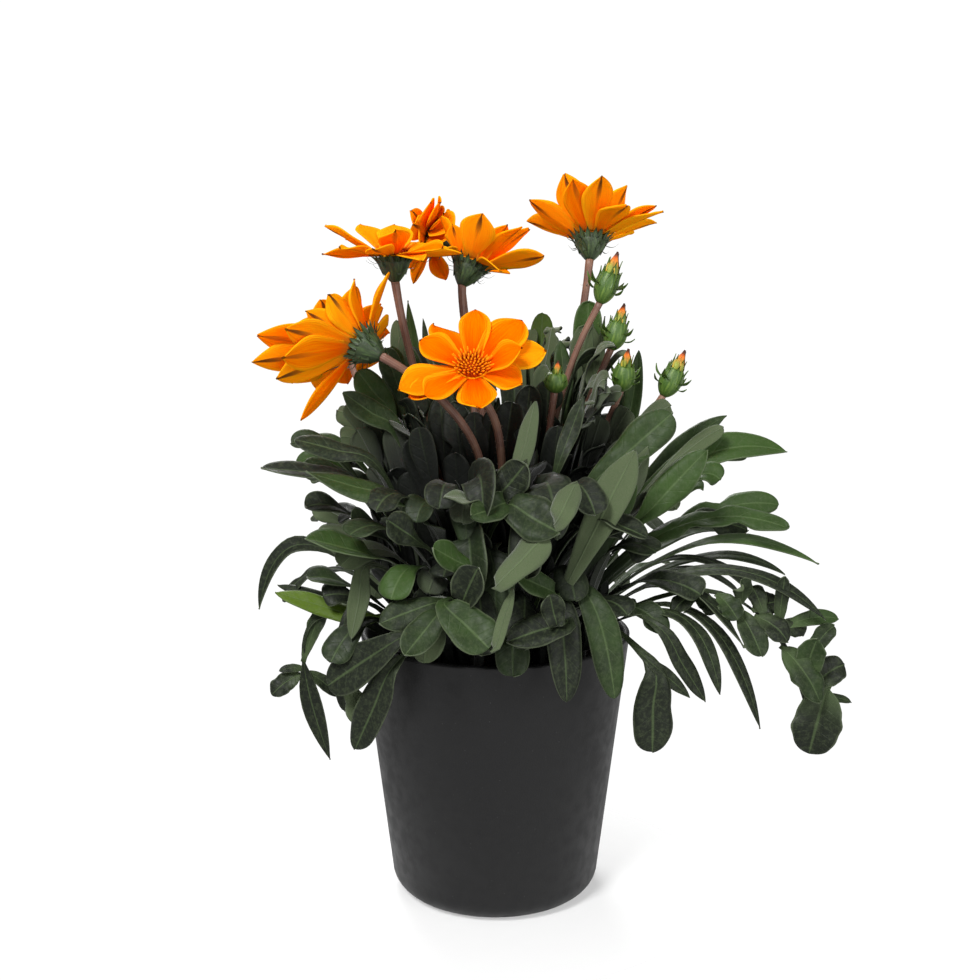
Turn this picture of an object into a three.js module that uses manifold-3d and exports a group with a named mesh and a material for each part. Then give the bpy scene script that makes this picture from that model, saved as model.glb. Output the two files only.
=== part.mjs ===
// A potted gazania: a plain tapered pot filled with soil, eight leafy shoots in a ring,
// seven daisy blooms and five buds on their own stems.
// Millimetres, +Z up. The origin is the centre of the pot's flat base, and the front is -Y.
import * as THREE from 'three';
import { mergeVertices } from 'three/addons/utils/BufferGeometryUtils.js';
import Module from 'manifold-3d';

const wasm = await Module();
wasm.setup();

// ---------------------------------------------------------------- driving dimensions
const CLEARANCE = 0.3;
// Vertices closer than this are one vertex.
const WELD = 1e-4;

const POT = {
  height: 119, rimRadius: 60, footRadius: 45.6, wall: 3, floor: 4,
  fillet: 10, filletTurns: 3, lip: 1, lipSlope: 0.4, floorSlope: 6, sides: 36,
};

const SOIL = { top: 104, relief: 1.4, aboveFloor: 7, rings: 3, sides: 16, seed: 7 };
// Stems and crowns stand in holes down to this height. A stem's hole widens toward the surface.
const HOLE = { floor: 90, above: 8, flare: 4.2 };

const SHOOTS = 8;
const SECTOR = 360 / SHOOTS;
const CROWN = { ring: 32, radius: 5, topRadius: 3, top: 138, sides: 5 };

// A slot is the free strip on the border between two sectors, where stems rise.
// Border 0 lies at azimuth 0, border 1 at 45 degrees, and so on.
// Beyond its slot a border sways with height, so that no straight gap shows between two shoots.
const SLOT_GAP = 0.4;
const SLOT_BLEND = 8;
const SWAY_LENGTH = 11;
const SLOTS = [
  { half: 3.6, reach: 78, sway: 6 },
  { half: 3.6, reach: 62, sway: 6 },
  { half: 2, reach: 36, sway: 6 },
  { half: 2, reach: 36, sway: 6 },
  { half: 3.6, reach: 72, sway: 6 },
  { half: 2, reach: 36, sway: 6 },
  { half: 8, reach: 31, sway: 12 },
  { half: 2, reach: 36, sway: 6 },
];
const UNSQUEEZED_SHARE = 0.86;

const LEAF = { blade: 0.8, petiole: 1.8, petioleWidth: 2.2, petioleTaper: 0.6 };
// Roots are spread down the crown, and each moves a little toward the side where its leaf grows.
const ROOT = { top: 136, foot: 108, turn: 0.15, shift: 0.06, reach: 55, inward: -1.5, outward: 2 };
// In a lobed edge every second station is this share of its width, up to the last notch.
const NOTCH = { share: 0.35, last: 0.9 };
const LOBE = {
  pairs: 4, first: 0.42, last: 0.84, stagger: 0.4, lean: 52, thickness: 0.6,
  shortest: 0.5, longest: 0.75, breadth: 0.5, sag: 0.12,
  outline: [[0, 0.5], [0.55, 1], [0.88, 0.8], [1, 0.35]],
};

const STEM = { radius: 1.7, sides: 6, steps: 7 };
const BUD_STEM = { radius: 1.4, sides: 6, steps: 6 };
const NECK = 4;

const HEAD = {
  cupRadius: 7.6, cupHeight: 10, recessRadius: 6, recessFloor: 7,
  receptacleRadius: 5.7, receptacleTop: 12.9, flare: 7.4, flareRise: 0.5,
  petalRoot: 5.8, petalHeight: 11.4,
};
const PETAL = { thickness: 0.7, roll: 9, wobble: 1.5, shortest: 0.92, longest: 1.05, firstSeed: 301 };
const DISC = { base: 13.2, radius: 5.2, rise: 2.6, bump: 0.7, sides: 12, shares: [0.615, 0.231] };
const BUD = { cupHeight: 14, recessRadius: 3.4, recessFloor: 10, tipRadius: 3, tipHeight: 23 };

// Rings of a head's green cup: [radius, height, bract tip radius, bract tip height].
const BRACTS = 8;
const CUP_RINGS = [
  [2.4, 0],
  [6.2, 4.2, 9.6, 7],
  [7, 6.6],
  [HEAD.cupRadius, 9, 11.6, 10.4],
  [HEAD.recessRadius, HEAD.cupHeight],
  [HEAD.recessRadius, HEAD.recessFloor],
];
const BUD_BRACTS = 6;
const BUD_CUP_RINGS = [
  [1.9, 0],
  [5, 3.6, 8, 6.4],
  [5.3, 5.6],
  [5.6, 8, 9, 15],
  [4.2, BUD.cupHeight],
  [BUD.recessRadius, BUD.cupHeight],
  [BUD.recessRadius, BUD.recessFloor],
];
// Rolled bud petals: [share of the height, share of the radius], with folds between and a twist.
const BUD_FOLDS = [[0, 0.8], [0.35, 1], [0.75, 0.62]];
const BUD_ROLL = { sides: 10, depth: 0.72, twist: 70 };

// ---------------------------------------------------------------- leaves
// Each row is one leaf of a shoot:
// [tip azimuth, middle radius, middle height, tip radius, tip height, width, roll, form]
// The rows of a shoot run from its upright inner leaves, rooted highest, to its hanging outer ones.
// Forms: spatulate with a round tip, lance-shaped, with a lobed edge, or trailing and cut into lobes.
const ROUND = 0;
const LANCE = 1;
const LOBED = 2;
const TRAILING = 3;

const LEAF_ROWS = [
  [ // shoot 1, azimuth 0 to 45
    [28, 42, 188, 47, 263, 15, 62, ROUND],
    [14, 41, 184, 49, 257, 8, 76, LANCE],
    [38, 36, 172, 44, 226, 11, 52, ROUND],
    [22, 58, 182, 70, 241, 8, 68, LANCE],
    [30, 34, 148, 38, 188, 14, 60, ROUND],
    [28, 62, 184, 92, 212, 12, 40, ROUND],
    [16, 72, 180, 110, 211, 9, 40, LANCE],
    [9, 80, 190, 134, 198, 12, 45, LANCE],
    [16, 76, 168, 118, 184, 12, 40, ROUND],
    [6, 84, 163, 128, 177, 13, 45, LOBED],
    [36, 66, 160, 100, 152, 14, 10, ROUND],
    [5, 88, 147, 132, 141, 6, 30, LANCE],
    [30, 84, 140, 108, 112, 14, 10, LOBED],
  ],
  [ // shoot 2, azimuth 45 to 90
    [64, 41, 186, 50, 257, 11, 26, ROUND],
    [78, 38, 170, 46, 222, 11, 12, ROUND],
    [86, 34, 160, 40, 208, 13, 4, ROUND],
    [56, 35, 148, 40, 192, 14, 34, ROUND],
    [80, 58, 188, 84, 204, 12, -10, LANCE],
    [55, 60, 180, 86, 196, 13, 15, ROUND],
    [68, 76, 162, 112, 156, 14, 0, LOBED],
    [60, 58, 142, 86, 150, 14, 0, ROUND],
    [52, 74, 140, 104, 118, 13, 20, ROUND],
    [82, 70, 140, 96, 112, 14, -10, ROUND],
  ],
  [ // shoot 3, azimuth 90 to 135
    [112, 44, 186, 56, 246, 11, -22, ROUND],
    [95, 38, 168, 46, 218, 13, -5, ROUND],
    [126, 36, 156, 42, 206, 14, -36, ROUND],
    [108, 35, 144, 39, 186, 14, -18, ROUND],
    [124, 60, 182, 84, 202, 12, 15, ROUND],
    [100, 62, 176, 90, 186, 13, -15, ROUND],
    [116, 76, 156, 110, 142, 14, 0, LOBED],
    [106, 58, 140, 86, 150, 14, 0, ROUND],
    [128, 72, 138, 98, 114, 13, 20, ROUND],
    [98, 70, 134, 92, 108, 13, -20, LANCE],
  ],
  [ // shoot 4, azimuth 135 to 180
    [140, 40, 190, 52, 263, 6, -50, LANCE],
    [161, 38, 186, 46, 255, 9, -71, ROUND],
    [150, 36, 170, 44, 225, 10, -60, ROUND],
    [146, 34, 148, 38, 192, 14, -52, ROUND],
    [168, 52, 192, 72, 214, 11, -60, ROUND],
    [171, 60, 192, 96, 209, 11, -50, ROUND],
    [172, 68, 186, 103, 192, 9, -50, LANCE],
    [160, 62, 172, 90, 182, 13, -45, ROUND],
    [174, 68, 160, 96, 168, 12, -50, ROUND],
    [150, 66, 160, 98, 158, 14, -20, ROUND],
    [170, 72, 142, 100, 127, 9, -45, LOBED],
    [146, 76, 140, 102, 116, 13, -10, LOBED],
    [172, 70, 126, 100, 135, 6, -40, LANCE],
  ],
  [ // shoot 5, azimuth 180 to 225
    [192, 42, 182, 54, 221, 12, -100, ROUND],
    [205, 38, 170, 48, 212, 12, -110, ROUND],
    [186, 48, 192, 64, 221, 10, -70, ROUND],
    [196, 46, 176, 62, 210, 13, -70, ROUND],
    [184, 62, 190, 89, 204, 11, -55, ROUND],
    [204, 56, 180, 86, 197, 10, -60, ROUND],
    [218, 38, 150, 46, 194, 14, 52, ROUND],
    [197, 58, 168, 88, 181, 14, -45, ROUND],
    [214, 50, 160, 70, 178, 15, -30, ROUND],
    [207, 56, 160, 80, 165, 16, -40, ROUND],
    [187, 80, 160, 104, 131, 9, -45, ROUND],
    [199, 60, 140, 84, 150, 13, -40, ROUND],
    [216, 62, 132, 84, 118, 14, -20, ROUND],
    [211, 68, 138, 75, 93, 7, -20, ROUND],
    [194, 82, 128, 75, 64, 13, -50, TRAILING],
  ],
  [ // shoot 6, azimuth 225 to 270
    [230, 40, 178, 49, 214, 11, 40, ROUND],
    [244, 33, 165, 38, 203, 12, 26, ROUND],
    [261, 36, 160, 44, 196, 13, 8, ROUND],
    [236, 37, 140, 41, 172, 14, 34, ROUND],
    [266, 56, 194, 76, 182, 15, -10, ROUND],
    [252, 54, 188, 72, 186, 14, -20, ROUND],
    [267, 38, 146, 43, 178, 13, 0, ROUND],
    [234, 58, 182, 80, 184, 14, -25, ROUND],
    [243, 48, 164, 62, 178, 15, -20, ROUND],
    [262, 56, 172, 76, 150, 17, 0, LOBED],
    [228, 58, 168, 86, 174, 15, -30, ROUND],
    [252, 50, 156, 68, 158, 14, -10, ROUND],
    [266, 58, 154, 80, 130, 17, 0, ROUND],
    [240, 60, 158, 82, 150, 15, -20, ROUND],
    [258, 42, 134, 48, 158, 14, 0, ROUND],
    [250, 62, 148, 82, 126, 14, -10, ROUND],
    [231, 64, 132, 92, 110, 17, -20, ROUND],
    [227, 66, 126, 78, 76, 13, -15, ROUND],
  ],
  [ // shoot 7, azimuth 270 to 315
    [291, 33, 168, 39, 225, 7, -21, LANCE],
    [306, 36, 172, 44, 214, 11, -36, ROUND],
    [276, 46, 186, 62, 200, 14, 10, ROUND],
    [301, 36, 150, 40, 190, 13, -29, ROUND],
    [287, 58, 192, 82, 176, 18, 10, ROUND],
    [274, 37, 146, 43, 182, 13, -5, ROUND],
    [299, 56, 188, 80, 184, 14, 20, ROUND],
    [306, 46, 165, 60, 186, 13, 20, ROUND],
    [311, 54, 165, 80, 176, 14, 30, ROUND],
    [284, 46, 150, 64, 174, 13, -10, LANCE],
    [296, 56, 158, 72, 148, 14, 10, ROUND],
    [275, 40, 132, 46, 156, 14, 0, ROUND],
    [311, 40, 136, 46, 160, 14, -40, ROUND],
    [303, 64, 152, 87, 110, 13, 15, ROUND],
    [279, 56, 148, 78, 132, 17, 0, ROUND],
    [310, 60, 142, 82, 142, 14, 20, ROUND],
    [291, 64, 146, 79, 109, 15, 0, ROUND],
  ],
  [ // shoot 8, azimuth 315 to 360
    [338, 38, 180, 48, 216, 12, -68, ROUND],
    [353, 44, 186, 58, 218, 10, 80, ROUND],
    [322, 38, 150, 46, 194, 14, -52, ROUND],
    [341, 50, 188, 78, 221, 13, 60, ROUND],
    [320, 54, 166, 80, 207, 12, -40, LANCE],
    [347, 74, 184, 116, 196, 12, 45, ROUND],
    [333, 52, 160, 74, 184, 14, 30, ROUND],
    [349, 76, 168, 122, 172, 13, 45, LOBED],
    [325, 56, 160, 80, 163, 15, 25, ROUND],
    [346, 38, 136, 44, 164, 13, 60, ROUND],
    [354, 86, 160, 141, 152, 8, 40, LANCE],
    [342, 92, 153, 144, 135, 9, 35, LANCE],
    [332, 64, 146, 96, 146, 14, 30, ROUND],
    [343, 104, 142, 142, 78, 20, 25, TRAILING],
    [326, 84, 138, 110, 108, 8, 25, LANCE],
    [335, 86, 138, 122, 90, 8, 30, LANCE],
    [320, 80, 130, 92, 82, 17, 10, ROUND],
  ],
];

// ---------------------------------------------------------------- blooms and buds
// A stem is a list of hand-chosen points [x, y, z] from its root to its top.
// axis is the way the head faces. cup is the petals' rise above the head's own plane, in degrees,
// and lean adds to it on one side: [degrees, azimuth in the head's own plane].
const BLOOMS = [
  {
    stem: [[11, 11, 92], [20, 20, 150], [31, 31, 205], [39, 38, 250], [43, 38, 281]],
    axis: [0.06, 0.42, 0.9],
    petals: 11, form: 'pointed', length: 29, width: 12,
    cup: 31, lean: [0, 0], droop: -1, turn: 8,
  },
  {
    stem: [[-10, 2, 92], [-17, 1, 150], [-28, 0, 205], [-39, 0, 250], [-43, 0, 272]],
    axis: [-0.04, 0.04, 1],
    petals: 11, form: 'pointed', length: 24, width: 12,
    cup: 15, lean: [8, 180], droop: 0, turn: 0,
  },
  {
    stem: [[-5, 11, 92], [-7, 17, 150], [-9, 28, 210], [-12, 42, 262], [-20, 52, 288]],
    axis: [-0.8, 0.5, 0.3],
    petals: 10, form: 'pointed', length: 17, width: 10,
    cup: 20, lean: [0, 0], droop: 2, turn: 12,
  },
  {
    stem: [[4, 3, 92], [2, 6, 150], [-4, 12, 205], [-12, 18, 245], [-15, 18, 270]],
    axis: [0.38, 0.34, 0.9],
    petals: 11, form: 'pointed', length: 25, width: 11,
    cup: 30, lean: [9, 150], droop: 0, turn: 4,
  },
  {
    stem: [
      [-6, -14, 92], [-5, -19, 150], [-4, -25, 190], [-11, -30, 212],
      [-23, -34, 226], [-35, -38, 237], [-46, -39, 243],
    ],
    axis: [-0.8, 0.42, 0.42],
    petals: 11, form: 'pointed', length: 34, width: 13,
    cup: 30, lean: [16, 270], droop: 1, turn: 0,
  },
  {
    stem: [[4, -14, 92], [4, -20, 150], [3, -27, 195], [-1, -31, 222], [-10, -37, 230]],
    axis: [0.05, -0.64, 0.77],
    petals: 10, form: 'blunt', length: 25, width: 15,
    cup: 12, lean: [0, 0], droop: 2, turn: 10,
  },
  {
    stem: [[-19, 0, 92], [-28, 0, 150], [-45, 1, 195], [-58, 5, 222], [-63, 12, 236]],
    axis: [-0.5, 0.7, 0.5],
    petals: 10, form: 'pointed', length: 23, width: 12,
    cup: 18, lean: [0, 0], droop: 1, turn: 6,
  },
];

// A petal's half outline: [share of the length, share of the width].
const PETAL_FORMS = {
  pointed: [[0, 0.22], [0.46, 0.86], [0.78, 0.94], [1, 0.12]],
  blunt: [[0, 0.22], [0.45, 0.82], [0.84, 0.94], [1, 0.4]],
};

const BUDS = [
  {
    stem: [[9, 2, 92], [14, 1.5, 150], [24, 1, 205], [36, 1, 246], [45, 1, 263]],
    axis: [0.35, 0, 1],
    size: 1,
  },
  {
    stem: [[14, -2, 92], [21, -1.5, 150], [33, -1, 200], [45, 0, 232], [50, 1, 243]],
    axis: [0.3, 0.1, 1],
    size: 0.9,
  },
  {
    stem: [[18, 2, 92], [28, 1, 150], [42, -1, 195], [52, -4, 220], [54, -6, 226]],
    axis: [0.15, -0.2, 1],
    size: 0.82,
  },
  {
    stem: [[22, -2, 92], [35, -1, 150], [52, 0, 190], [67, 0, 215], [73, 0, 223]],
    axis: [0.42, 0, 0.9],
    size: 0.95,
  },
  {
    stem: [[13, -9, 92], [17, -11, 150], [22, -13, 200], [25, -14, 226]],
    axis: [0.12, -0.1, 1],
    size: 0.6,
  },
];

// ---------------------------------------------------------------- materials
const finish = (color, roughness) => new THREE.MeshStandardMaterial({ color, roughness, metalness: 0 });
const MATERIALS = {
  pot: finish(0x2b2b2d, 0.6),
  soil: finish(0x1d1713, 0.95),
  leaf: finish(0x33472f, 0.5),
  petal: finish(0xff8a00, 0.5),
  floret: finish(0xf39a10, 0.7),
  involucre: finish(0x2f4a2a, 0.6),
  stem: finish(0x7a4a3c, 0.6),
  bud: finish(0x5f8f3a, 0.5),
};

// ---------------------------------------------------------------- small helpers
const radians = (degrees) => degrees * Math.PI / 180;
const degrees = (angle) => angle * 180 / Math.PI;
const mix = (from, to, share) => from + (to - from) * share;
const clamp = (value, low, high) => Math.min(high, Math.max(low, value));
const vector = (point) => new THREE.Vector3(...point);

const polar = (azimuth, radius, height) => new THREE.Vector3(
  radius * Math.cos(radians(azimuth)),
  radius * Math.sin(radians(azimuth)),
  height,
);

// Park and Miller's generator, so that every draw is the same on each run.
function draws(seed) {
  let state = seed;
  return (low, high) => {
    state = (state * 16807) % 2147483647;
    return mix(low, high, state / 2147483647);
  };
}

function solidFromArrays(positions, triangles) {
  const mesh = new wasm.Mesh({
    numProp: 3,
    vertProperties: Float32Array.from(positions),
    triVerts: Uint32Array.from(triangles),
  });
  return new wasm.Manifold(mesh);
}

function solidFromGeometry(geometry) {
  const bare = geometry.clone();
  bare.deleteAttribute('normal');
  bare.deleteAttribute('uv');
  const merged = mergeVertices(bare, WELD);
  return solidFromArrays(merged.attributes.position.array, merged.index.array);
}

function geometryFromSolid(solid) {
  const mesh = solid.getMesh();
  const geometry = new THREE.BufferGeometry();
  geometry.setAttribute('position', new THREE.BufferAttribute(Float32Array.from(mesh.vertProperties), 3));
  geometry.setIndex(new THREE.BufferAttribute(Uint32Array.from(mesh.triVerts), 1));
  geometry.computeVertexNormals();
  return geometry;
}

// A closed solid from a foot point, over rings with equally many corners, to a top point.
function solidOfRings(foot, rings, top) {
  const sides = rings[0].length;
  const points = [foot, ...rings.flat(), top];
  const lastRing = 1 + (rings.length - 1) * sides;
  const triangles = [];
  for (let i = 0; i < sides; i += 1) {
    const next = (i + 1) % sides;
    triangles.push(0, 1 + next, 1 + i);
    for (let low = 1; low < lastRing; low += sides) {
      const high = low + sides;
      triangles.push(low + i, low + next, high + i, low + next, high + next, high + i);
    }
    triangles.push(lastRing + i, lastRing + next, points.length - 1);
  }
  return solidFromArrays(points.flatMap((point) => point.toArray()), triangles);
}

// One ring of corners round +Z. Its odd corners may stand further out and higher, as pointed tips.
function ringOf(sides, [radius, height, tipRadius = radius, tipHeight = height], twist = 0) {
  return Array.from({ length: sides }, (_, i) => {
    const azimuth = 360 * i / sides + twist;
    return i % 2 ? polar(azimuth, tipRadius, tipHeight) : polar(azimuth, radius, height);
  });
}

const joined = (solids) => solids.reduce((whole, piece) => whole.add(piece));

// Loose scraps that a join leaves behind are dropped.
function largestBody(solid) {
  const bodies = solid.decompose();
  return bodies.reduce((best, body) => (body.volume() > best.volume() ? body : best));
}

function node(name, geometry, material) {
  const mesh = new THREE.Mesh(geometry, material);
  mesh.name = name;
  return mesh;
}

const lathe = (profile, sides) => {
  const points = profile.map(([radius, height]) => new THREE.Vector2(radius, height));
  const geometry = new THREE.LatheGeometry(points, sides);
  return geometry.rotateX(Math.PI / 2);
};

// ---------------------------------------------------------------- blades
// A blade is a flat strip along its stations. Both faces are split along the same diagonal.
function bladeArrays(stations) {
  const positions = [];
  const triangles = [];
  const put = (station, across, up) => {
    const point = station.centre.clone();
    point.addScaledVector(station.side, across);
    point.addScaledVector(station.normal, up);
    positions.push(point.x, point.y, point.z);
  };
  stations.forEach((station) => {
    put(station, -station.left, -station.thickness / 2);
    put(station, station.right, -station.thickness / 2);
    put(station, station.right, station.thickness / 2);
    put(station, -station.left, station.thickness / 2);
  });
  for (let i = 0; i < stations.length - 1; i += 1) {
    const a = 4 * i;
    const b = a + 4;
    triangles.push(a, a + 1, b + 1, a, b + 1, b);
    triangles.push(a + 1, a + 2, b + 2, a + 1, b + 2, b + 1);
    triangles.push(a + 2, a + 3, b + 2, a + 3, b + 3, b + 2);
    triangles.push(a + 3, a, b, a + 3, b, b + 3);
  }
  const end = 4 * (stations.length - 1);
  triangles.push(0, 3, 2, 0, 2, 1);
  triangles.push(end, end + 1, end + 2, end, end + 2, end + 3);
  return { positions, triangles };
}

// The frame of a path at t: centre, tangent, side and normal, with the blade rolled about it.
function pathFrame(path, t, roll) {
  const step = 0.01;
  const centre = path(t);
  const tangent = path(Math.min(1, t + step)).sub(path(Math.max(0, t - step))).normalize();
  const around = new THREE.Vector3(-centre.y, centre.x, 0).normalize();
  const side = around.clone().addScaledVector(tangent, -around.dot(tangent)).normalize();
  const normal = tangent.clone().cross(side);
  const turn = radians(roll);
  const rolledSide = side.clone().multiplyScalar(Math.cos(turn)).addScaledVector(normal, Math.sin(turn));
  return { centre, tangent, side: rolledSide, normal: tangent.clone().cross(rolledSide) };
}

// A border's azimuth and the width kept free beside it, at a given radius and height.
function borderAt(index, radius, height) {
  const slot = SLOTS[index % SHOOTS];
  const share = clamp((radius - slot.reach) / SLOT_BLEND, 0, 1);
  const half = mix(slot.half, SLOT_GAP, share);
  return {
    azimuth: SECTOR * index + slot.sway * share * Math.sin(height / SWAY_LENGTH + (index % SHOOTS)),
    free: degrees(Math.asin(half / radius)),
  };
}

// Moves a point in azimuth only, so that it stays inside its own sector and clear of the slots.
function squeeze(point, sector) {
  const radius = Math.hypot(point.x, point.y);
  const middle = SECTOR * (sector + 0.5);
  let offset = degrees(Math.atan2(point.y, point.x)) - middle;
  offset -= 360 * Math.round(offset / 360);
  const border = borderAt(offset < 0 ? sector : sector + 1, radius, point.z);
  const limit = Math.abs(border.azimuth - middle) - border.free;
  const share = Math.abs(offset) / limit;
  if (share <= UNSQUEEZED_SHARE) return;
  const rest = 1 - UNSQUEEZED_SHARE;
  const kept = UNSQUEEZED_SHARE + rest * (1 - Math.exp(-(share - UNSQUEEZED_SHARE) / rest));
  const azimuth = middle + Math.sign(offset) * kept * limit;
  point.copy(polar(azimuth, radius, point.z));
}

function bladeInSector(stations, sector) {
  const { positions, triangles } = bladeArrays(stations);
  const point = new THREE.Vector3();
  for (let i = 0; i < positions.length; i += 3) {
    point.fromArray(positions, i);
    squeeze(point, sector);
    point.toArray(positions, i);
  }
  return solidFromArrays(positions, triangles);
}

// ---------------------------------------------------------------- leaves
// The midrib is the parabola through the root, the row's middle point and its tip.
function midrib(row, root) {
  const [tipAzimuth, middleRadius, middleHeight, tipRadius, tipHeight] = row;
  const bendRadius = 2 * middleRadius - (root.radius + tipRadius) / 2;
  const bendHeight = 2 * middleHeight - (root.height + tipHeight) / 2;
  const bezier = (from, bend, to, t) => mix(mix(from, bend, t), mix(bend, to, t), t);
  return (t) => polar(
    mix(root.azimuth, tipAzimuth, Math.sin(t * Math.PI / 2)),
    bezier(root.radius, bendRadius, tipRadius, t),
    bezier(root.height, bendHeight, tipHeight, t),
  );
}

// The blade's share of its full width at t, 0 along the petiole and 1 at its widest.
function bladeShare(t, rise, fall) {
  const widest = rise / (rise + fall);
  const peak = widest ** rise * (1 - widest) ** fall;
  return t ** rise * (1 - t) ** fall / peak;
}

const LEAF_FORMS = {
  [ROUND]: { rise: 3, fall: 0.5, tip: 0.4, stops: [0, 0.4, 0.66, 0.88, 1] },
  [LANCE]: { rise: 2, fall: 0.8, tip: 0.12, stops: [0, 0.35, 0.6, 0.8, 1] },
  [LOBED]: { rise: 2, fall: 0.5, tip: 0.3, stops: [0, 0.36, 0.48, 0.6, 0.7, 0.8, 0.9, 1] },
  [TRAILING]: { rise: 7, fall: 0.5, tip: 0.4, stops: [0, 0.25, 0.45, 0.65, 0.8, 0.92, 1] },
};

function leafStations(row, root) {
  const [, , , , , width, roll, form] = row;
  const shape = LEAF_FORMS[form];
  const path = midrib(row, root);
  const isNotched = (t) => form === LOBED && t > 0 && t < NOTCH.last;
  return shape.stops.map((t, index) => {
    const frame = pathFrame(path, t, roll * t);
    const petiole = LEAF.petioleWidth * mix(1, LEAF.petioleTaper, t);
    const share = bladeShare(t, shape.rise, shape.fall);
    const half = (t === 1 ? width * shape.tip : petiole + (width - petiole) * share) / 2;
    const thickness = mix(LEAF.petiole, LEAF.blade, Math.min(1, 2 * t));
    const left = half * (isNotched(t) && index % 2 ? NOTCH.share : 1);
    const right = half * (isNotched(t) && !(index % 2) ? NOTCH.share : 1);
    return { ...frame, left, right, thickness };
  });
}

// Lobes stand in pairs on the midrib, lean forward, and grow toward the tip.
function leafLobe(frame, hand, length) {
  const lean = radians(LOBE.lean);
  const along = frame.tangent.clone().multiplyScalar(Math.cos(lean));
  along.addScaledVector(frame.side, hand * Math.sin(lean)).normalize();
  const side = frame.normal.clone().cross(along);
  return LOBE.outline.map(([share, breadth]) => {
    const centre = frame.centre.clone().addScaledVector(along, share * length);
    centre.addScaledVector(frame.normal, -LOBE.sag * share * share * length);
    const half = LOBE.breadth * length * breadth / 2;
    return { centre, side, normal: frame.normal, left: half, right: half, thickness: LOBE.thickness };
  });
}

function leafLobes(row, root, sector) {
  const [, , , , , width, roll] = row;
  const path = midrib(row, root);
  const lobes = [];
  for (let pair = 0; pair < LOBE.pairs; pair += 1) {
    const length = width * mix(LOBE.shortest, LOBE.longest, pair / (LOBE.pairs - 1));
    for (const hand of [-1, 1]) {
      const place = (pair + (hand > 0 ? LOBE.stagger : 0)) / LOBE.pairs;
      const t = mix(LOBE.first, LOBE.last, place);
      const stations = leafLobe(pathFrame(path, t, roll * t), hand, length);
      lobes.push(bladeInSector(stations, sector));
    }
  }
  return lobes;
}

function leafRoot(row, index, count, middle) {
  const [tipAzimuth, middleRadius] = row;
  const shift = clamp((middleRadius - ROOT.reach) * ROOT.shift, ROOT.inward, ROOT.outward);
  return {
    azimuth: mix(middle, tipAzimuth, ROOT.turn),
    radius: CROWN.ring + shift,
    height: mix(ROOT.top, ROOT.foot, index / (count - 1)),
  };
}

function crownSolid(azimuth) {
  const base = HOLE.floor + CLEARANCE;
  const height = CROWN.top - base;
  const crown = new THREE.CylinderGeometry(CROWN.topRadius, CROWN.radius, height, CROWN.sides);
  crown.rotateX(Math.PI / 2);
  crown.translate(...polar(azimuth, CROWN.ring, base + height / 2).toArray());
  return solidFromGeometry(crown);
}

function shootNode(sector) {
  const middle = SECTOR * (sector + 0.5);
  const rows = LEAF_ROWS[sector];
  const pieces = [crownSolid(middle)];
  rows.forEach((row, index) => {
    const root = leafRoot(row, index, rows.length, middle);
    const form = row[7];
    pieces.push(bladeInSector(leafStations(row, root), sector));
    if (form === TRAILING) pieces.push(...leafLobes(row, root, sector));
  });
  const geometry = geometryFromSolid(largestBody(joined(pieces)));
  return node(`leafy_shoot_${sector + 1}`, geometry, MATERIALS.leaf);
}

// ---------------------------------------------------------------- stems
function stemNode(name, points, axis, size) {
  const top = vector(points[points.length - 1]).addScaledVector(axis, -CLEARANCE);
  const neck = top.clone().addScaledVector(axis, -NECK);
  const route = [...points.slice(0, -1).map(vector), neck, top];
  const curve = new THREE.CatmullRomCurve3(route, false, 'catmullrom', 0.5);
  const outline = new THREE.Shape();
  for (let i = 0; i < size.sides; i += 1) {
    const angle = 2 * Math.PI * i / size.sides;
    const x = size.radius * Math.cos(angle);
    const y = size.radius * Math.sin(angle);
    if (i === 0) outline.moveTo(x, y);
    else outline.lineTo(x, y);
  }
  const geometry = new THREE.ExtrudeGeometry(outline, { steps: size.steps, extrudePath: curve });
  return node(name, geometryFromSolid(solidFromGeometry(geometry)), MATERIALS.stem);
}

// ---------------------------------------------------------------- heads
// The head's own frame: +Z along its axis, +X level as far as it can be.
function headFrame(place, axis) {
  const forward = new THREE.Vector3(0, 1, 0).cross(axis).normalize();
  const upward = axis.clone().cross(forward);
  const frame = new THREE.Group();
  frame.position.copy(place);
  frame.quaternion.setFromRotationMatrix(new THREE.Matrix4().makeBasis(forward, upward, axis));
  return frame;
}

function cupNode(name, profile, bracts, recessFloor, material) {
  const rings = profile.map((ring) => ringOf(2 * bracts, ring));
  const solid = solidOfRings(polar(0, 0, 0), rings, polar(0, 0, recessFloor));
  return node(name, geometryFromSolid(solid), material);
}

// A petal is a blade in the head's frame. It is rolled a little, so that neighbours overlap like tiles.
function petalSolid(bloom, azimuth, reach, rise) {
  const out = polar(azimuth, 1, 0);
  const side = polar(azimuth + 90, 1, 0);
  const slope = radians(rise);
  const roll = radians(PETAL.roll);
  const tangent = out.clone().multiplyScalar(Math.cos(slope)).setZ(Math.sin(slope));
  const normal = tangent.clone().cross(side);
  const rolledSide = side.clone().multiplyScalar(Math.cos(roll)).addScaledVector(normal, Math.sin(roll));
  const rolledNormal = tangent.clone().cross(rolledSide);
  const root = out.clone().multiplyScalar(HEAD.petalRoot).setZ(HEAD.petalHeight);
  const stations = PETAL_FORMS[bloom.form].map(([share, breadth]) => {
    const centre = root.clone().addScaledVector(tangent, share * reach);
    centre.z -= bloom.droop * share * share;
    const half = bloom.width * breadth / 2;
    return {
      centre, side: rolledSide, normal: rolledNormal,
      left: half, right: half, thickness: PETAL.thickness,
    };
  });
  const { positions, triangles } = bladeArrays(stations);
  return solidFromArrays(positions, triangles);
}

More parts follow.
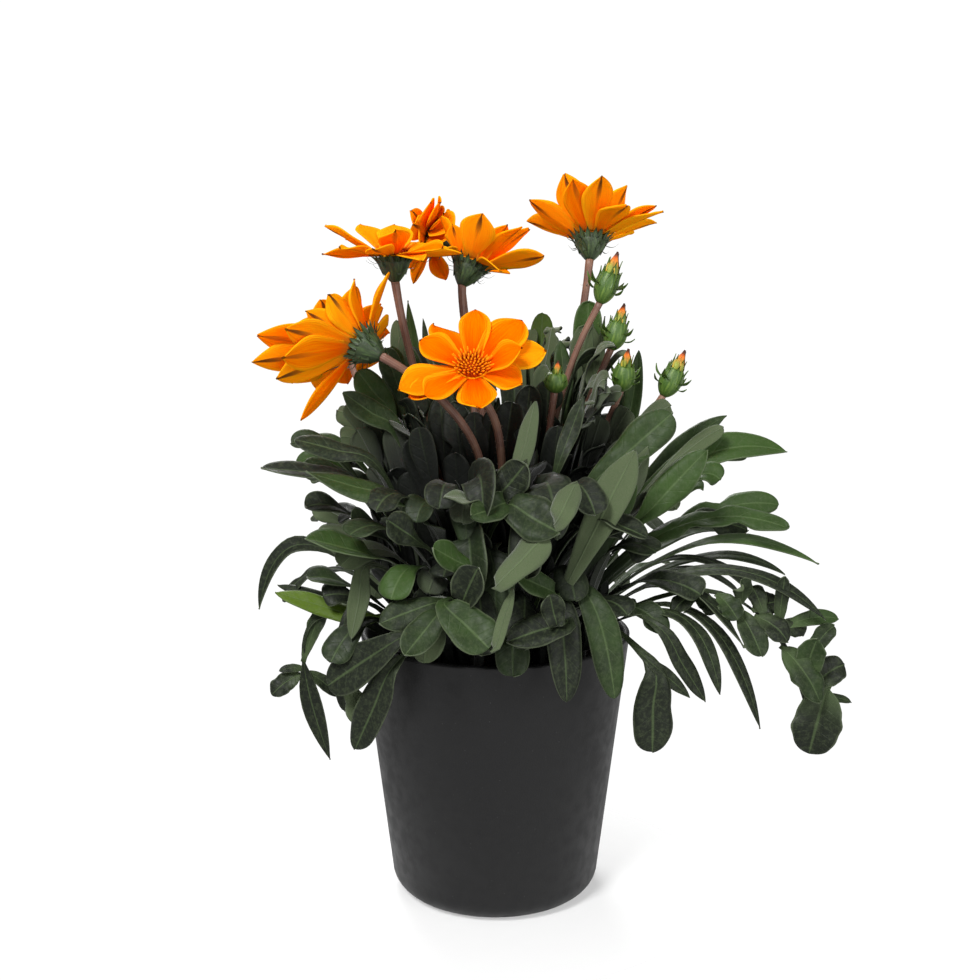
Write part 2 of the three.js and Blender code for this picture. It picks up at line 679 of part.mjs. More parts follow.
function receptacleSolid(bloom) {
  const foot = HEAD.recessFloor + CLEARANCE;
  const shoulder = HEAD.cupHeight + CLEARANCE;
  const receptacle = lathe([
    [0, foot],
    [HEAD.receptacleRadius, foot],
    [HEAD.receptacleRadius, shoulder],
    [HEAD.flare, shoulder + HEAD.flareRise],
    [HEAD.flare, HEAD.receptacleTop],
    [0, HEAD.receptacleTop],
  ], bloom.petals);
  receptacle.rotateZ(radians(bloom.turn + 180 / bloom.petals));
  return solidFromGeometry(receptacle);
}

function petalsNode(name, bloom, seed) {
  const draw = draws(seed);
  const [leanAmount, leanAzimuth] = bloom.lean;
  const pieces = [receptacleSolid(bloom)];
  for (let i = 0; i < bloom.petals; i += 1) {
    const azimuth = bloom.turn + 360 * i / bloom.petals + draw(-PETAL.wobble, PETAL.wobble);
    const reach = bloom.length * draw(PETAL.shortest, PETAL.longest);
    const lean = leanAmount * Math.cos(radians(azimuth - leanAzimuth));
    const rise = bloom.cup + lean + draw(-PETAL.wobble, PETAL.wobble);
    pieces.push(petalSolid(bloom, azimuth, reach, rise));
  }
  return node(name, geometryFromSolid(largestBody(joined(pieces))), MATERIALS.petal);
}

// The disc is a dome. Every second corner of its rings is raised into a floret.
function discNode(name) {
  const halfStep = 180 / DISC.sides;
  const rings = [ringOf(DISC.sides, [DISC.radius, DISC.base])];
  DISC.shares.forEach((share, index) => {
    const radius = DISC.radius * share;
    const height = DISC.base + DISC.rise * Math.sqrt(1 - share * share);
    rings.push(ringOf(DISC.sides, [radius, height, radius, height + DISC.bump], halfStep * (index + 1)));
  });
  const solid = solidOfRings(polar(0, 0, DISC.base), rings, polar(0, 0, DISC.base + DISC.rise));
  return node(name, geometryFromSolid(solid), MATERIALS.floret);
}

function addBloom(plant, bloom, index) {
  const name = `bloom_${index + 1}`;
  const axis = vector(bloom.axis).normalize();
  plant.add(stemNode(`${name}_stem`, bloom.stem, axis, STEM));
  const head = headFrame(vector(bloom.stem[bloom.stem.length - 1]), axis);
  head.add(cupNode(`${name}_involucre`, CUP_RINGS, BRACTS, HEAD.recessFloor, MATERIALS.involucre));
  head.add(petalsNode(`${name}_petals`, bloom, PETAL.firstSeed + index));
  head.add(discNode(`${name}_disc`));
  plant.add(head);
}

// ---------------------------------------------------------------- buds
function budPetalsNode(name) {
  const base = BUD.recessFloor + CLEARANCE;
  const rings = BUD_FOLDS.map(([share, breadth]) => {
    const radius = BUD.tipRadius * breadth;
    const height = mix(base, BUD.tipHeight, share);
    return ringOf(BUD_ROLL.sides, [radius, height, radius * BUD_ROLL.depth], BUD_ROLL.twist * share);
  });
  const solid = solidOfRings(polar(0, 0, base), rings, polar(0, 0, BUD.tipHeight));
  return node(name, geometryFromSolid(solid), MATERIALS.petal);
}

function addBud(plant, bud, index) {
  const name = `bud_${index + 1}`;
  const axis = vector(bud.axis).normalize();
  plant.add(stemNode(`${name}_stem`, bud.stem, axis, BUD_STEM));
  const head = headFrame(vector(bud.stem[bud.stem.length - 1]), axis);
  const pieces = [
    cupNode(`${name}_involucre`, BUD_CUP_RINGS, BUD_BRACTS, BUD.recessFloor, MATERIALS.bud),
    budPetalsNode(`${name}_petals`),
  ];
  pieces.forEach((piece) => piece.geometry.scale(bud.size, bud.size, bud.size));
  head.add(...pieces);
  plant.add(head);
}

// ---------------------------------------------------------------- pot and soil
const wallRadius = (height) => mix(POT.footRadius, POT.rimRadius, height / POT.height);

function potNode() {
  const profile = [[0, 0]];
  const filletCentre = wallRadius(POT.fillet) - POT.fillet;
  for (let i = 0; i <= POT.filletTurns; i += 1) {
    const angle = (Math.PI / 2) * (i / POT.filletTurns);
    profile.push([filletCentre + POT.fillet * Math.sin(angle), POT.fillet * (1 - Math.cos(angle))]);
  }
  const slopeTop = POT.floor + POT.floorSlope;
  profile.push([POT.rimRadius, POT.height - POT.lip]);
  profile.push([POT.rimRadius - POT.lipSlope, POT.height]);
  profile.push([POT.rimRadius - POT.wall, POT.height]);
  profile.push([wallRadius(slopeTop) - POT.wall, slopeTop]);
  profile.push([wallRadius(POT.floor) - POT.wall - POT.floorSlope, POT.floor]);
  profile.push([0, POT.floor]);
  return node('pot', geometryFromSolid(solidFromGeometry(lathe(profile, POT.sides))), MATERIALS.pot);
}

// The block of soil that fills the pot, with an uneven top.
function soilBlock() {
  const draw = draws(SOIL.seed);
  const inside = (height) => wallRadius(height) - POT.wall - 1.5 * CLEARANCE;
  const base = POT.floor + SOIL.aboveFloor;
  const rings = [ringOf(SOIL.sides, [inside(base), base])];
  for (let ring = 0; ring < SOIL.rings; ring += 1) {
    const radius = inside(SOIL.top - SOIL.relief) * (1 - ring / SOIL.rings);
    const corners = ringOf(SOIL.sides, [radius, SOIL.top]);
    corners.forEach((corner) => corner.setZ(SOIL.top + draw(-SOIL.relief, SOIL.relief)));
    rings.push(corners);
  }
  return solidOfRings(polar(0, 0, base), rings, polar(0, 0, SOIL.top));
}

function holeSolid(x, y, radius, flare, sides) {
  const depth = SOIL.top + HOLE.above - HOLE.floor;
  const bit = new THREE.CylinderGeometry(radius + flare, radius, depth, sides);
  bit.rotateX(Math.PI / 2);
  bit.translate(x, y, HOLE.floor + depth / 2);
  return solidFromGeometry(bit);
}

function soilNode() {
  const holes = [];
  for (let sector = 0; sector < SHOOTS; sector += 1) {
    const seat = polar(SECTOR * (sector + 0.5), CROWN.ring, 0);
    holes.push(holeSolid(seat.x, seat.y, CROWN.radius + CLEARANCE, 0, CROWN.sides));
  }
  const stemHole = ([x, y], size) => holeSolid(x, y, size.radius + 2 * CLEARANCE, HOLE.flare, size.sides);
  BLOOMS.forEach((bloom) => holes.push(stemHole(bloom.stem[0], STEM)));
  BUDS.forEach((bud) => holes.push(stemHole(bud.stem[0], BUD_STEM)));
  const drilled = holes.reduce((soil, hole) => soil.subtract(hole), soilBlock());
  return node('soil', geometryFromSolid(largestBody(drilled)), MATERIALS.soil);
}

// ---------------------------------------------------------------- the whole plant
const gazania = new THREE.Group();
gazania.add(potNode());
gazania.add(soilNode());
for (let sector = 0; sector < SHOOTS; sector += 1) gazania.add(shootNode(sector));
BLOOMS.forEach((bloom, index) => addBloom(gazania, bloom, index));
BUDS.forEach((bud, index) => addBud(gazania, bud, index));

export default gazania;
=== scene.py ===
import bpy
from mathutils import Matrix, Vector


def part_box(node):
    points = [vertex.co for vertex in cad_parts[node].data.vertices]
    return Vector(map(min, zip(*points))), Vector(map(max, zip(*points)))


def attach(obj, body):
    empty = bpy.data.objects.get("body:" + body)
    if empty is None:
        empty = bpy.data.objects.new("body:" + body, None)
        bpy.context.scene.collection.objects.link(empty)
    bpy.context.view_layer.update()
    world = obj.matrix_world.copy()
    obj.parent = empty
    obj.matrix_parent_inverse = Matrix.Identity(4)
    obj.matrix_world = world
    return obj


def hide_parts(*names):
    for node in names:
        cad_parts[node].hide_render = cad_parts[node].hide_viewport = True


bl_info = {
    "name": "Potted gazania",
    "version": (1, 0, 0),
    "blender": (4, 5, 0),
    "location": "View3D > Sidebar > Gazania",
    "description": "Grows a gazania in its plastic pot: leafy shoots, daisy blooms and rolled buds",
    "category": "Add Mesh",
}

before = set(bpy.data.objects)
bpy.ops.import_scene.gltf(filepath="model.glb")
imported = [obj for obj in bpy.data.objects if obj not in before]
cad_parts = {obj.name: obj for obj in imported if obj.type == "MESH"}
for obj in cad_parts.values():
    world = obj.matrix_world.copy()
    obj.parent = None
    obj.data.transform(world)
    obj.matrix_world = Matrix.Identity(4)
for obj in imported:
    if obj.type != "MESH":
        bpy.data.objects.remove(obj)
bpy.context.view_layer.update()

import math
import random

import bmesh
import bpy
from bpy.props import FloatProperty, FloatVectorProperty, IntProperty, PointerProperty
from mathutils import Matrix, Vector, noise

# ------------------------------------------------------------------ units and the frame
# Everything is shaped in millimetres and scaled to metres once, when a piece is finished. Points of a
# tube or a turned part that are closer than MERGE_DISTANCE become one.
MM = 0.001
MERGE_DISTANCE = 1e-4

# The pot and the soil have the frame's sizes. The pot's foot and the floor inside it are given here.
POT_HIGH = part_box("pot")[1] / MM
POT_HEIGHT = POT_HIGH.z
RIM_RADIUS = POT_HIGH.x
FOOT_RADIUS = 45.6
POT_FLOOR = 4
SOIL_LOW, SOIL_HIGH = (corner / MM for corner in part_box("soil"))
SOIL_RINGS = 30

# The camera, in millimetres and degrees. Some leaves and petals are placed by where it sees them:
# right and down in its square frame of FRAME_SIZE pixels.
CAMERA_SIDE, CAMERA_DISTANCE, CAMERA_HEIGHT = -2.3, 600.0, 285.3
CAMERA_PITCH = 9.81
LENS, SENSOR = 50.88, 36
FRAME_SIZE = 980

# Eight shoots, each in its own sector. Their crowns stand on a ring round the middle of the pot.
SECTOR = 360 / 8
CROWN_RING = 32
CROWN_TOP = 138
CROWN_FOOT_RADIUS, CROWN_TOP_RADIUS = 4.6, 2.6

# Seeds of the random draws. Each shoot or head adds its own number.
CRUMB_SEED, SHOOT_SEED, CUP_SEED, PETAL_SEED = 11, 40, 60, 300
DISC_SEED, BUD_SEED, LAID_SEED = 500, 700, 900

# Tone tells the blades or bracts of one material apart. A part that is given none has this one.
MIDDLE_TONE = 0.5

# ------------------------------------------------------------------ leaves
# Each row is one leaf of a shoot, in degrees and millimetres:
# (tip azimuth, middle radius, middle height, tip radius, tip height, width, roll, form)
# The rows of a shoot run from its upright inner leaves, rooted highest, to its hanging outer ones.
ROUND, LANCE, LOBED, TRAILING = range(4)

LEAF_ROWS = (
    (  # shoot 1, azimuth 0 to 45
        (28, 42, 188, 47, 263, 15, 62, ROUND),
        (14, 41, 184, 49, 257, 8, 76, LANCE),
        (38, 36, 172, 44, 226, 11, 52, ROUND),
        (22, 58, 182, 70, 241, 8, 68, LANCE),
        (30, 34, 148, 38, 188, 14, 60, ROUND),
        (28, 62, 184, 92, 212, 12, 40, ROUND),
        (16, 72, 180, 110, 211, 9, 40, LANCE),
        (9, 80, 185, 134, 196, 12, 45, LANCE),
        (16, 76, 168, 100, 180, 12, 40, ROUND),
        (6, 84, 162, 129, 173, 13, 45, LOBED),
        (36, 66, 160, 100, 152, 14, 10, ROUND),
        (5, 88, 147, 132, 141, 6, 30, LANCE),
        (30, 84, 140, 108, 112, 14, 10, LOBED),
    ),
    (  # shoot 2, azimuth 45 to 90
        (64, 41, 186, 50, 257, 11, 26, ROUND),
        (78, 38, 170, 46, 222, 11, 12, ROUND),
        (86, 34, 160, 40, 208, 13, 4, ROUND),
        (56, 35, 148, 40, 192, 14, 34, ROUND),
        (80, 58, 188, 84, 204, 12, -10, LANCE),
        (55, 60, 180, 86, 196, 13, 15, ROUND),
        (68, 76, 162, 112, 156, 14, 0, LOBED),
        (60, 58, 142, 86, 150, 14, 0, ROUND),
        (52, 74, 140, 104, 118, 13, 20, ROUND),
        (82, 70, 140, 96, 112, 14, -10, ROUND),
    ),
    (  # shoot 3, azimuth 90 to 135
        (112, 44, 186, 56, 246, 11, -22, ROUND),
        (95, 38, 168, 46, 218, 13, -5, ROUND),
        (126, 36, 156, 42, 206, 14, -36, ROUND),
        (108, 35, 144, 39, 186, 14, -18, ROUND),
        (124, 60, 182, 84, 202, 12, 15, ROUND),
        (100, 62, 176, 90, 186, 13, -15, ROUND),
        (116, 76, 156, 110, 142, 14, 0, LOBED),
        (106, 58, 140, 86, 150, 14, 0, ROUND),
        (128, 72, 138, 98, 114, 13, 20, ROUND),
        (98, 70, 134, 92, 108, 13, -20, LANCE),
    ),
    (  # shoot 4, azimuth 135 to 180
        (140, 40, 190, 52, 263, 6, -50, LANCE),
        (161, 38, 186, 46, 255, 9, -71, ROUND),
        (150, 36, 170, 44, 225, 10, -60, ROUND),
        (146, 34, 148, 38, 192, 14, -52, ROUND),
        (168, 52, 192, 72, 214, 11, -60, ROUND),
        (171, 58, 187, 84, 201, 11, -50, ROUND),
        (172, 66, 184, 90, 190, 9, -50, LANCE),
        (160, 62, 172, 90, 182, 13, -45, ROUND),
        (174, 62, 160, 82, 170, 12, -50, ROUND),
        (150, 66, 160, 98, 158, 14, -20, ROUND),
        (170, 72, 142, 100, 127, 9, -45, LOBED),
        (146, 76, 140, 102, 116, 13, -10, LOBED),
        (172, 70, 126, 100, 135, 6, -40, LANCE),
    ),
    (  # shoot 5, azimuth 180 to 225
        (192, 42, 182, 54, 221, 12, -100, ROUND),
        (205, 38, 170, 48, 212, 12, -110, ROUND),
        (186, 48, 192, 64, 221, 10, -70, ROUND),
        (196, 46, 176, 62, 210, 13, -70, ROUND),
        (184, 62, 190, 89, 204, 11, -55, ROUND),
        (204, 56, 180, 86, 197, 10, -60, ROUND),
        (218, 38, 150, 46, 194, 14, 52, ROUND),
        (197, 58, 168, 84, 180, 12, -45, ROUND),
        (214, 50, 160, 70, 178, 15, -30, ROUND),
        (207, 56, 160, 80, 165, 16, -40, ROUND),
        (187, 80, 160, 104, 131, 9, -45, ROUND),
        (199, 60, 140, 84, 150, 13, -40, ROUND),
        (216, 62, 132, 84, 118, 14, -20, ROUND),
        (211, 68, 138, 75, 93, 7, -20, ROUND),
        (194, 82, 128, 75, 64, 13, -50, TRAILING),
    ),
    (  # shoot 6, azimuth 225 to 270
        (230, 40, 178, 49, 214, 11, 40, ROUND),
        (244, 33, 165, 38, 203, 12, 26, ROUND),
        (261, 36, 160, 44, 196, 13, 8, ROUND),
        (236, 37, 140, 41, 172, 14, 34, ROUND),
        (266, 56, 194, 76, 182, 15, -10, ROUND),
        (252, 54, 188, 72, 186, 14, -20, ROUND),
        (267, 38, 146, 43, 178, 13, 0, ROUND),
        (234, 58, 182, 80, 184, 14, -25, ROUND),
        (243, 48, 164, 62, 178, 15, -20, ROUND),
        (262, 56, 172, 76, 150, 17, 0, LOBED),
        (228, 58, 168, 86, 174, 15, -30, ROUND),
        (252, 50, 156, 68, 158, 14, -10, ROUND),
        (266, 58, 154, 80, 130, 17, 0, ROUND),
        (240, 60, 158, 82, 150, 15, -20, ROUND),
        (258, 42, 134, 48, 158, 14, 0, ROUND),
        (250, 62, 148, 82, 126, 14, -10, ROUND),
        (231, 64, 132, 92, 110, 17, -20, ROUND),
        (227, 66, 126, 78, 76, 13, -15, ROUND),
    ),
    (  # shoot 7, azimuth 270 to 315
        (291, 33, 168, 39, 225, 7, -21, LANCE),
        (306, 36, 172, 44, 214, 11, -36, ROUND),
        (276, 46, 186, 62, 200, 14, 10, ROUND),
        (301, 36, 150, 40, 190, 13, -29, ROUND),
        (287, 58, 192, 82, 176, 18, 10, ROUND),
        (274, 37, 146, 43, 182, 13, -5, ROUND),
        (299, 56, 188, 80, 184, 14, 20, ROUND),
        (306, 46, 165, 60, 186, 13, 20, ROUND),
        (311, 54, 165, 80, 176, 14, 30, ROUND),
        (284, 46, 150, 64, 174, 13, -10, LANCE),
        (296, 56, 158, 72, 148, 14, 10, ROUND),
        (275, 40, 132, 46, 156, 14, 0, ROUND),
        (311, 40, 136, 46, 160, 14, -40, ROUND),
        (303, 64, 152, 87, 110, 13, 15, ROUND),
        (279, 56, 148, 78, 132, 17, 0, ROUND),
        (310, 60, 142, 82, 142, 14, 20, ROUND),
        (291, 64, 146, 79, 109, 15, 0, ROUND),
    ),
    (  # shoot 8, azimuth 315 to 360
        (338, 38, 180, 48, 216, 12, -68, ROUND),
        (353, 44, 186, 58, 218, 10, 80, ROUND),
        (322, 38, 150, 46, 194, 14, -52, ROUND),
        (341, 50, 188, 78, 221, 13, 60, ROUND),
        (320, 54, 166, 80, 207, 12, -40, LANCE),
        (347, 74, 182, 98, 190, 12, 45, ROUND),
        (333, 52, 160, 74, 184, 14, 30, ROUND),
        (349, 76, 167, 127, 171, 13, 45, LOBED),
        (325, 56, 160, 80, 163, 15, 25, ROUND),
        (346, 38, 136, 44, 164, 13, 60, ROUND),
        (354, 86, 160, 141, 152, 8, 40, LANCE),
        (342, 92, 153, 144, 135, 9, 35, LANCE),
        (332, 64, 146, 96, 146, 14, 30, ROUND),
        (343, 104, 142, 142, 78, 20, 25, TRAILING),
        (326, 84, 138, 110, 108, 8, 25, LANCE),
        (335, 86, 138, 122, 90, 8, 30, LANCE),
        (320, 80, 130, 92, 82, 17, 10, ROUND),
    ),
)

# The tallest of the leaves inside each shoot. The front shoots stay below their blooms.
INNER_TALLEST = (240, 246, 246, 240, 222, 190, 198, 238)

# The tallest of the young leaves that stand in the soil. Those at the back close the view between stems.
STALK_TALLEST = (228, 232, 232, 228, 205, 186, 186, 205)

# How fresh a shoot's leaves are: 0 is dark and grey, 1 fresh green, 2 a very young yellow-green.
SHOOT_FRESHNESS = (0.3, 0.15, 0.0, 0.0, 0.0, 0.0, 0.05, 0.15)
# Leaves that stand out from the rest of their shoot: (shoot, row) counted from 0, and their freshness.
LEAF_FRESHNESS = {
    (0, 0): 1.2, (0, 3): 0.7, (0, 5): 0.7, (0, 6): 0.6, (0, 7): 0.9, (0, 8): 0.9, (1, 0): 1.6, (3, 0): 0.9,
    (4, 10): 0.05, (4, 14): 0.05, (5, 4): 0.1, (5, 12): 0.15, (6, 4): 0.2, (6, 6): 0.15, (6, 13): 0.5,
    (6, 14): 0.0, (6, 16): 0.05, (7, 3): 0.5, (7, 13): 0.1, (7, 14): 0.2, (7, 15): 0.1,
}

# Leaves that show their felt: (shoot, row).
TURNED_LEAVES = {(6, 0), (6, 9), (7, 4), (5, 3), (4, 9), (3, 7)}

# A blade starts at a share of the leaf's length. Its half width then grows as u**rise * (1 - u)**fall,
# from u = 0 at its start to 1 at its tip. A trailing leaf is a bare stalk with lobes laid along it.
OVAL, SLENDER, SPEAR, FINGERED, LOBE, SLIM_LOBE = range(4, 10)
LEAF_FORMS = {
    ROUND: {"start": 0, "rise": 4, "fall": 0.42},
    LANCE: {"start": 0, "rise": 2, "fall": 0.8},
    LOBED: {"start": 0, "rise": 2.2, "fall": 0.5},
    TRAILING: {"start": 1, "rise": 1, "fall": 1},
    OVAL: {"start": 0.4, "rise": 1.0, "fall": 0.5},
    SLENDER: {"start": 0.38, "rise": 1.1, "fall": 0.85},
    SPEAR: {"start": 0.4, "rise": 2.8, "fall": 0.8},
    FINGERED: {"start": 0.74, "rise": 0.9, "fall": 0.8},
    LOBE: {"start": 0.08, "rise": 0.8, "fall": 0.5},
    SLIM_LOBE: {"start": 0.06, "rise": 0.8, "fall": 0.7},
}

# A lobed leaf draws in at notches, placed along its left and right edge. Every edge is a little uneven.
LEFT_NOTCHES, RIGHT_NOTCHES = (0.36, 0.6, 0.8), (0.48, 0.7)
NOTCH_DEPTH, NOTCH_SPREAD = 0.6, 0.045
EDGE_UNEVENNESS = 0.035

# Rows and columns of a blade's mesh.
LEAF_STEPS, LOBED_STEPS, LEAF_COLUMNS = 26, 38, 8

# A stalk's width where it starts, and the share of it that is left at the tip.
PETIOLE_WIDTH, PETIOLE_TAPER = 2.2, 0.6

# The share of leaves whose upper face looks up or out. The rest show their felt.
OUTWARD_SHARE = 0.88

# Arches are shares of a length. A laid stalk leaves its crown this far below the top, and a laid leaf
# rolls less than the others do.
LOBE_ARCH, STALK_ARCH = 0.35, 0.16
LAID_ROOT_DEPTH = 14
LAID_ROLL = 0.5

# How much of the painted shade inside the plant reaches a leaf. Laid leaves stay light, but for the dark
# ones that start further back than SCREEN_DEPTH and close the view between the stems.
SHELTER, LAID_SHELTER = 0.96, 0.25
SCREEN_DEPTH, DARK_TONE = -12, 0.4

# Painted shade darkens leaves from the first radius or height inward to the second. From BACK_START to
# BACK_END, along y, they come to count as further out by BACK_REACH and to be lighter by BACK_LIGHT.
OUTER_RADIUS, INNER_RADIUS = 88, 42
OUTER_HEIGHT, INNER_HEIGHT = 256, 192
BACK_START, BACK_END = -20, 30
BACK_REACH, BACK_LIGHT = 16, 0.3

# How much of its tone a smaller leaf keeps, the rest lost as painted shade: beside a main leaf, inside
# the shoot, or in the soil.
SIDE_SHADE, INNER_SHADE, STALK_SHADE = 0.8, 0.4, 0.3

# Roots are spread down the crown, and each moves a little toward the side where its leaf grows.
ROOT_TOP, ROOT_FOOT = 136, 108
ROOT_TURN = 0.15
ROOT_SHIFT = 0.06
ROOT_REACH = 55
ROOT_SHIFT_LIMITS = (-1.5, 2)

# A leaf whose tip is lower than this hangs. Smaller leaves grow only beside those that don't.
HANGING_HEIGHT = 132
LOWEST_SIDE_TIP, LOWEST_STALK_TIP = 96, 128

# Ways for a leaf's upper face to look.
FRONT = Vector((0, -0.8, 0.6))
UPWARD = Vector((0, -0.35, 0.94))
LEFTWARD = Vector((-0.55, -0.6, 0.55))
RIGHTWARD = Vector((0.55, -0.6, 0.55))

# Leaves of the rows above that turn their face: (shoot, row), with the way it looks, the form and how
# much fuller the blade is.
FACED_LEAVES = {
    (0, 0): (FRONT, ROUND, 0.8), (0, 3): (FRONT, LANCE, 1.0), (0, 6): (FRONT, LANCE, 1.1),
    (0, 7): (FRONT, LANCE, 1.3), (0, 9): (FRONT, LOBED, 1.0), (1, 0): (FRONT, ROUND, 1.0),
    (3, 0): (FRONT, LANCE, 1.35), (4, 10): (LEFTWARD, SLENDER, 0.9), (4, 13): (LEFTWARD, ROUND, 1.0),
    (4, 14): (FRONT, FINGERED, 0.68), (5, 4): (LEFTWARD, OVAL, 1.0), (5, 9): (LEFTWARD, OVAL, 1.0),
    (5, 12): (FRONT, ROUND, 1.0), (6, 4): (FRONT, OVAL, 1.0), (6, 13): (FRONT, OVAL, 1.0),
    (6, 14): (RIGHTWARD, ROUND, 0.9), (6, 16): (FRONT, OVAL, 1.0), (7, 7): (FRONT, LOBED, 1.0),
    (7, 13): (FRONT, TRAILING, 1.0),
}

# Leaves of the rows above that are laid one by one below instead: (shoot, row).
LAID_ROWS = {(5, 16), (5, 17), (7, 16)}

# Smaller leaves and lobes laid one by one over each shoot, as the camera sees them: where the blade
# starts and ends, each as (right, down, y), its width, the way it faces, its freshness and its form.
# A freshness below 0 shows the felt. A lobe starts on a leaf's rib, any other blade has its own stalk.
LAID_LEAVES = {
    0: (
        ((596, 404, 8), (591, 326, 14), 11, FRONT, -1, SLENDER),
        ((566, 400, 10), (560, 340, 16), 8, FRONT, 0.6, SLENDER),
    ),
    4: (
        ((372, 556, -52), (306, 537, -58), 17, UPWARD, 0.7, OVAL),
        ((366, 619, -26), (275, 592, -24), 9, FRONT, 2.0, SLENDER),
        ((366, 566, -40), (352, 640, -46), 9, FRONT, -1, SLENDER),
        ((352, 680, -44), (359, 725, -46), 9, FRONT, -1, OVAL),
        ((398, 420, -2), (393, 346, 4), 11, FRONT, 1.0, OVAL),
        ((304, 669, -20), (279, 671, -23), 4, FRONT, 0.1, SLIM_LOBE),
        ((303, 674, -20), (271, 695, -25), 9, FRONT, 0.1, LOBE),
        ((306, 672, -20), (338, 697, -17), 6, FRONT, 0.1, SLIM_LOBE),
        ((303, 662, -22), (327, 603, -22), 7, FRONT, 0.4, SLIM_LOBE),
        ((352, 478, -40), (262, 465, -46), 10, UPWARD, 0.1, OVAL),
        ((374, 462, -44), (296, 437, -50), 10, FRONT, 0.2, OVAL),
        ((398, 500, -56), (306, 472, -60), 13, UPWARD, 0.55, SLENDER),
        ((392, 416, -14), (357, 371, -18), 13, FRONT, 0.8, OVAL),
        ((398, 432, -20), (343, 393, -24), 12, FRONT, 0.5, SLENDER),
        ((402, 402, -6), (386, 348, -8), 10, FRONT, 0.6, OVAL),
    ),
    5: (
        ((402, 637, -56), (325, 685, -48), 19, FRONT, 0.05, OVAL),
        ((392, 668, -54), (354, 750, -50), 14, FRONT, 0.05, OVAL),
        ((425, 462, -8), (412, 390, -4), 15, FRONT, 0.3, LOBED),
        ((446, 470, -6), (440, 396, -4), 12, FRONT, 0.15, OVAL),
        ((462, 476, -8), (455, 402, -6), 14, FRONT, 0.2, LOBED),
        ((478, 480, -10), (474, 412, -8), 12, FRONT, 0.0, OVAL),
        ((487, 501, -64), (444, 499, -76), 9, UPWARD, -1, OVAL),
        ((507, 505, -66), (473, 514, -80), 12, FRONT, 0.5, OVAL),
        ((498, 499, -62), (523, 465, -68), 14, FRONT, 0.05, OVAL),
        ((477, 572, -66), (432, 548, -78), 11, FRONT, 0.75, OVAL),
        ((461, 606, -70), (475, 570, -80), 14, FRONT, 0.0, OVAL),
        ((438, 602, -68), (380, 621, -76), 14, FRONT, 0.35, OVAL),
        ((440, 612, -72), (405, 655, -84), 13, FRONT, 0.45, OVAL),
        ((444, 604, -74), (489, 648, -86), 18, FRONT, 0.55, OVAL),
        ((493, 650, -84), (514, 588, -82), 5, FRONT, -1, SLENDER),
        ((416, 540, -66), (388, 520, -74), 13, FRONT, 0.1, OVAL),
    ),
    6: (
        ((486, 472, -9), (492, 408, -7), 10, FRONT, 0.0, SLENDER),
        ((502, 478, -10), (512, 402, -8), 14, FRONT, 0.1, LOBED),
        ((522, 470, -8), (530, 386, -4), 13, FRONT, 0.1, OVAL),
        ((545, 462, -6), (549, 380, -2), 14, FRONT, 0.3, LOBED),
        ((508, 505, -66), (559, 532, -82), 18, FRONT, 0.35, OVAL),
        ((556, 524, -80), (577, 481, -82), 10, FRONT, -1, SLENDER),
        ((496, 588, -84), (546, 534, -80), 13, FRONT, -1, OVAL),
        ((556, 594, -66), (515, 573, -80), 12, FRONT, 0.6, OVAL),
        ((568, 622, -70), (508, 639, -80), 14, FRONT, 0.1, OVAL),
        ((556, 626, -74), (551, 598, -80), 10, FRONT, 0.0, OVAL),
        ((598, 518, -58), (648, 535, -68), 12, UPWARD, 0.15, OVAL),
        ((517, 480, -60), (536, 402, -52), 8, FRONT, -1, SLENDER),
        ((558, 466, -50), (584, 396, -44), 7, FRONT, 0.3, SLENDER),
        ((590, 486, -46), (671, 413, -48), 16, FRONT, 0.6, OVAL),
    ),
    7: (
        ((562, 594, -60), (635, 451, -64), 15, FRONT, -1, SPEAR),
        ((653, 666, -57), (653, 753, -60), 17, FRONT, 0.0, OVAL),
        ((644, 516, -42), (706, 450, -46), 14, FRONT, 0.8, SLENDER),
        ((829, 686, -41), (809, 756, -43), 20, FRONT, 0.1, LOBE),
        ((742, 604, -37), (744, 584, -46), 9, FRONT, 0.3, LOBE),
        ((752, 611, -37), (777, 602, -34), 10, FRONT, 0.0, LOBE),
        ((778, 632, -38), (785, 578, -42), 6, FRONT, 0.2, SLIM_LOBE),
        ((754, 616, -38), (789, 640, -48), 11, FRONT, 0.1, LOBE),
        ((777, 632, -38), (808, 628, -34), 9, FRONT, 0.0, LOBE),
        ((778, 630, -36), (839, 618, -32), 7, FRONT, 0.6, SLIM_LOBE),
        ((734, 606, -38), (762, 656, -50), 11, FRONT, 0.35, LOBE),
        ((802, 686, -42), (817, 640, -46), 12, FRONT, 0.5, LOBE),
        ((800, 672, -40), (834, 625, -38), 8, FRONT, 0.4, LOBE),
        ((806, 694, -40), (845, 664, -36), 12, FRONT, 0.05, LOBE),
        ((780, 646, -42), (822, 702, -50), 13, FRONT, 0.45, LOBE),
        ((810, 700, -38), (852, 702, -36), 4, FRONT, 0.4, SLIM_LOBE),
        ((716, 594, -36), (738, 620, -46), 10, FRONT, 0.4, LOBE),
        ((700, 592, -32), (672, 612, -42), 8, FRONT, 0.2, LOBE),
        ((690, 592, -32), (716, 612, -40), 8, FRONT, 0.3, LOBE),
        ((766, 622, -38), (752, 586, -34), 8, FRONT, 0.25, LOBE),
        ((660, 628, -50), (706, 702, -54), 8, FRONT, 0.1, SLENDER),
        ((648, 660, -56), (691, 697, -56), 6, FRONT, 0.2, SLENDER),
    ),
}
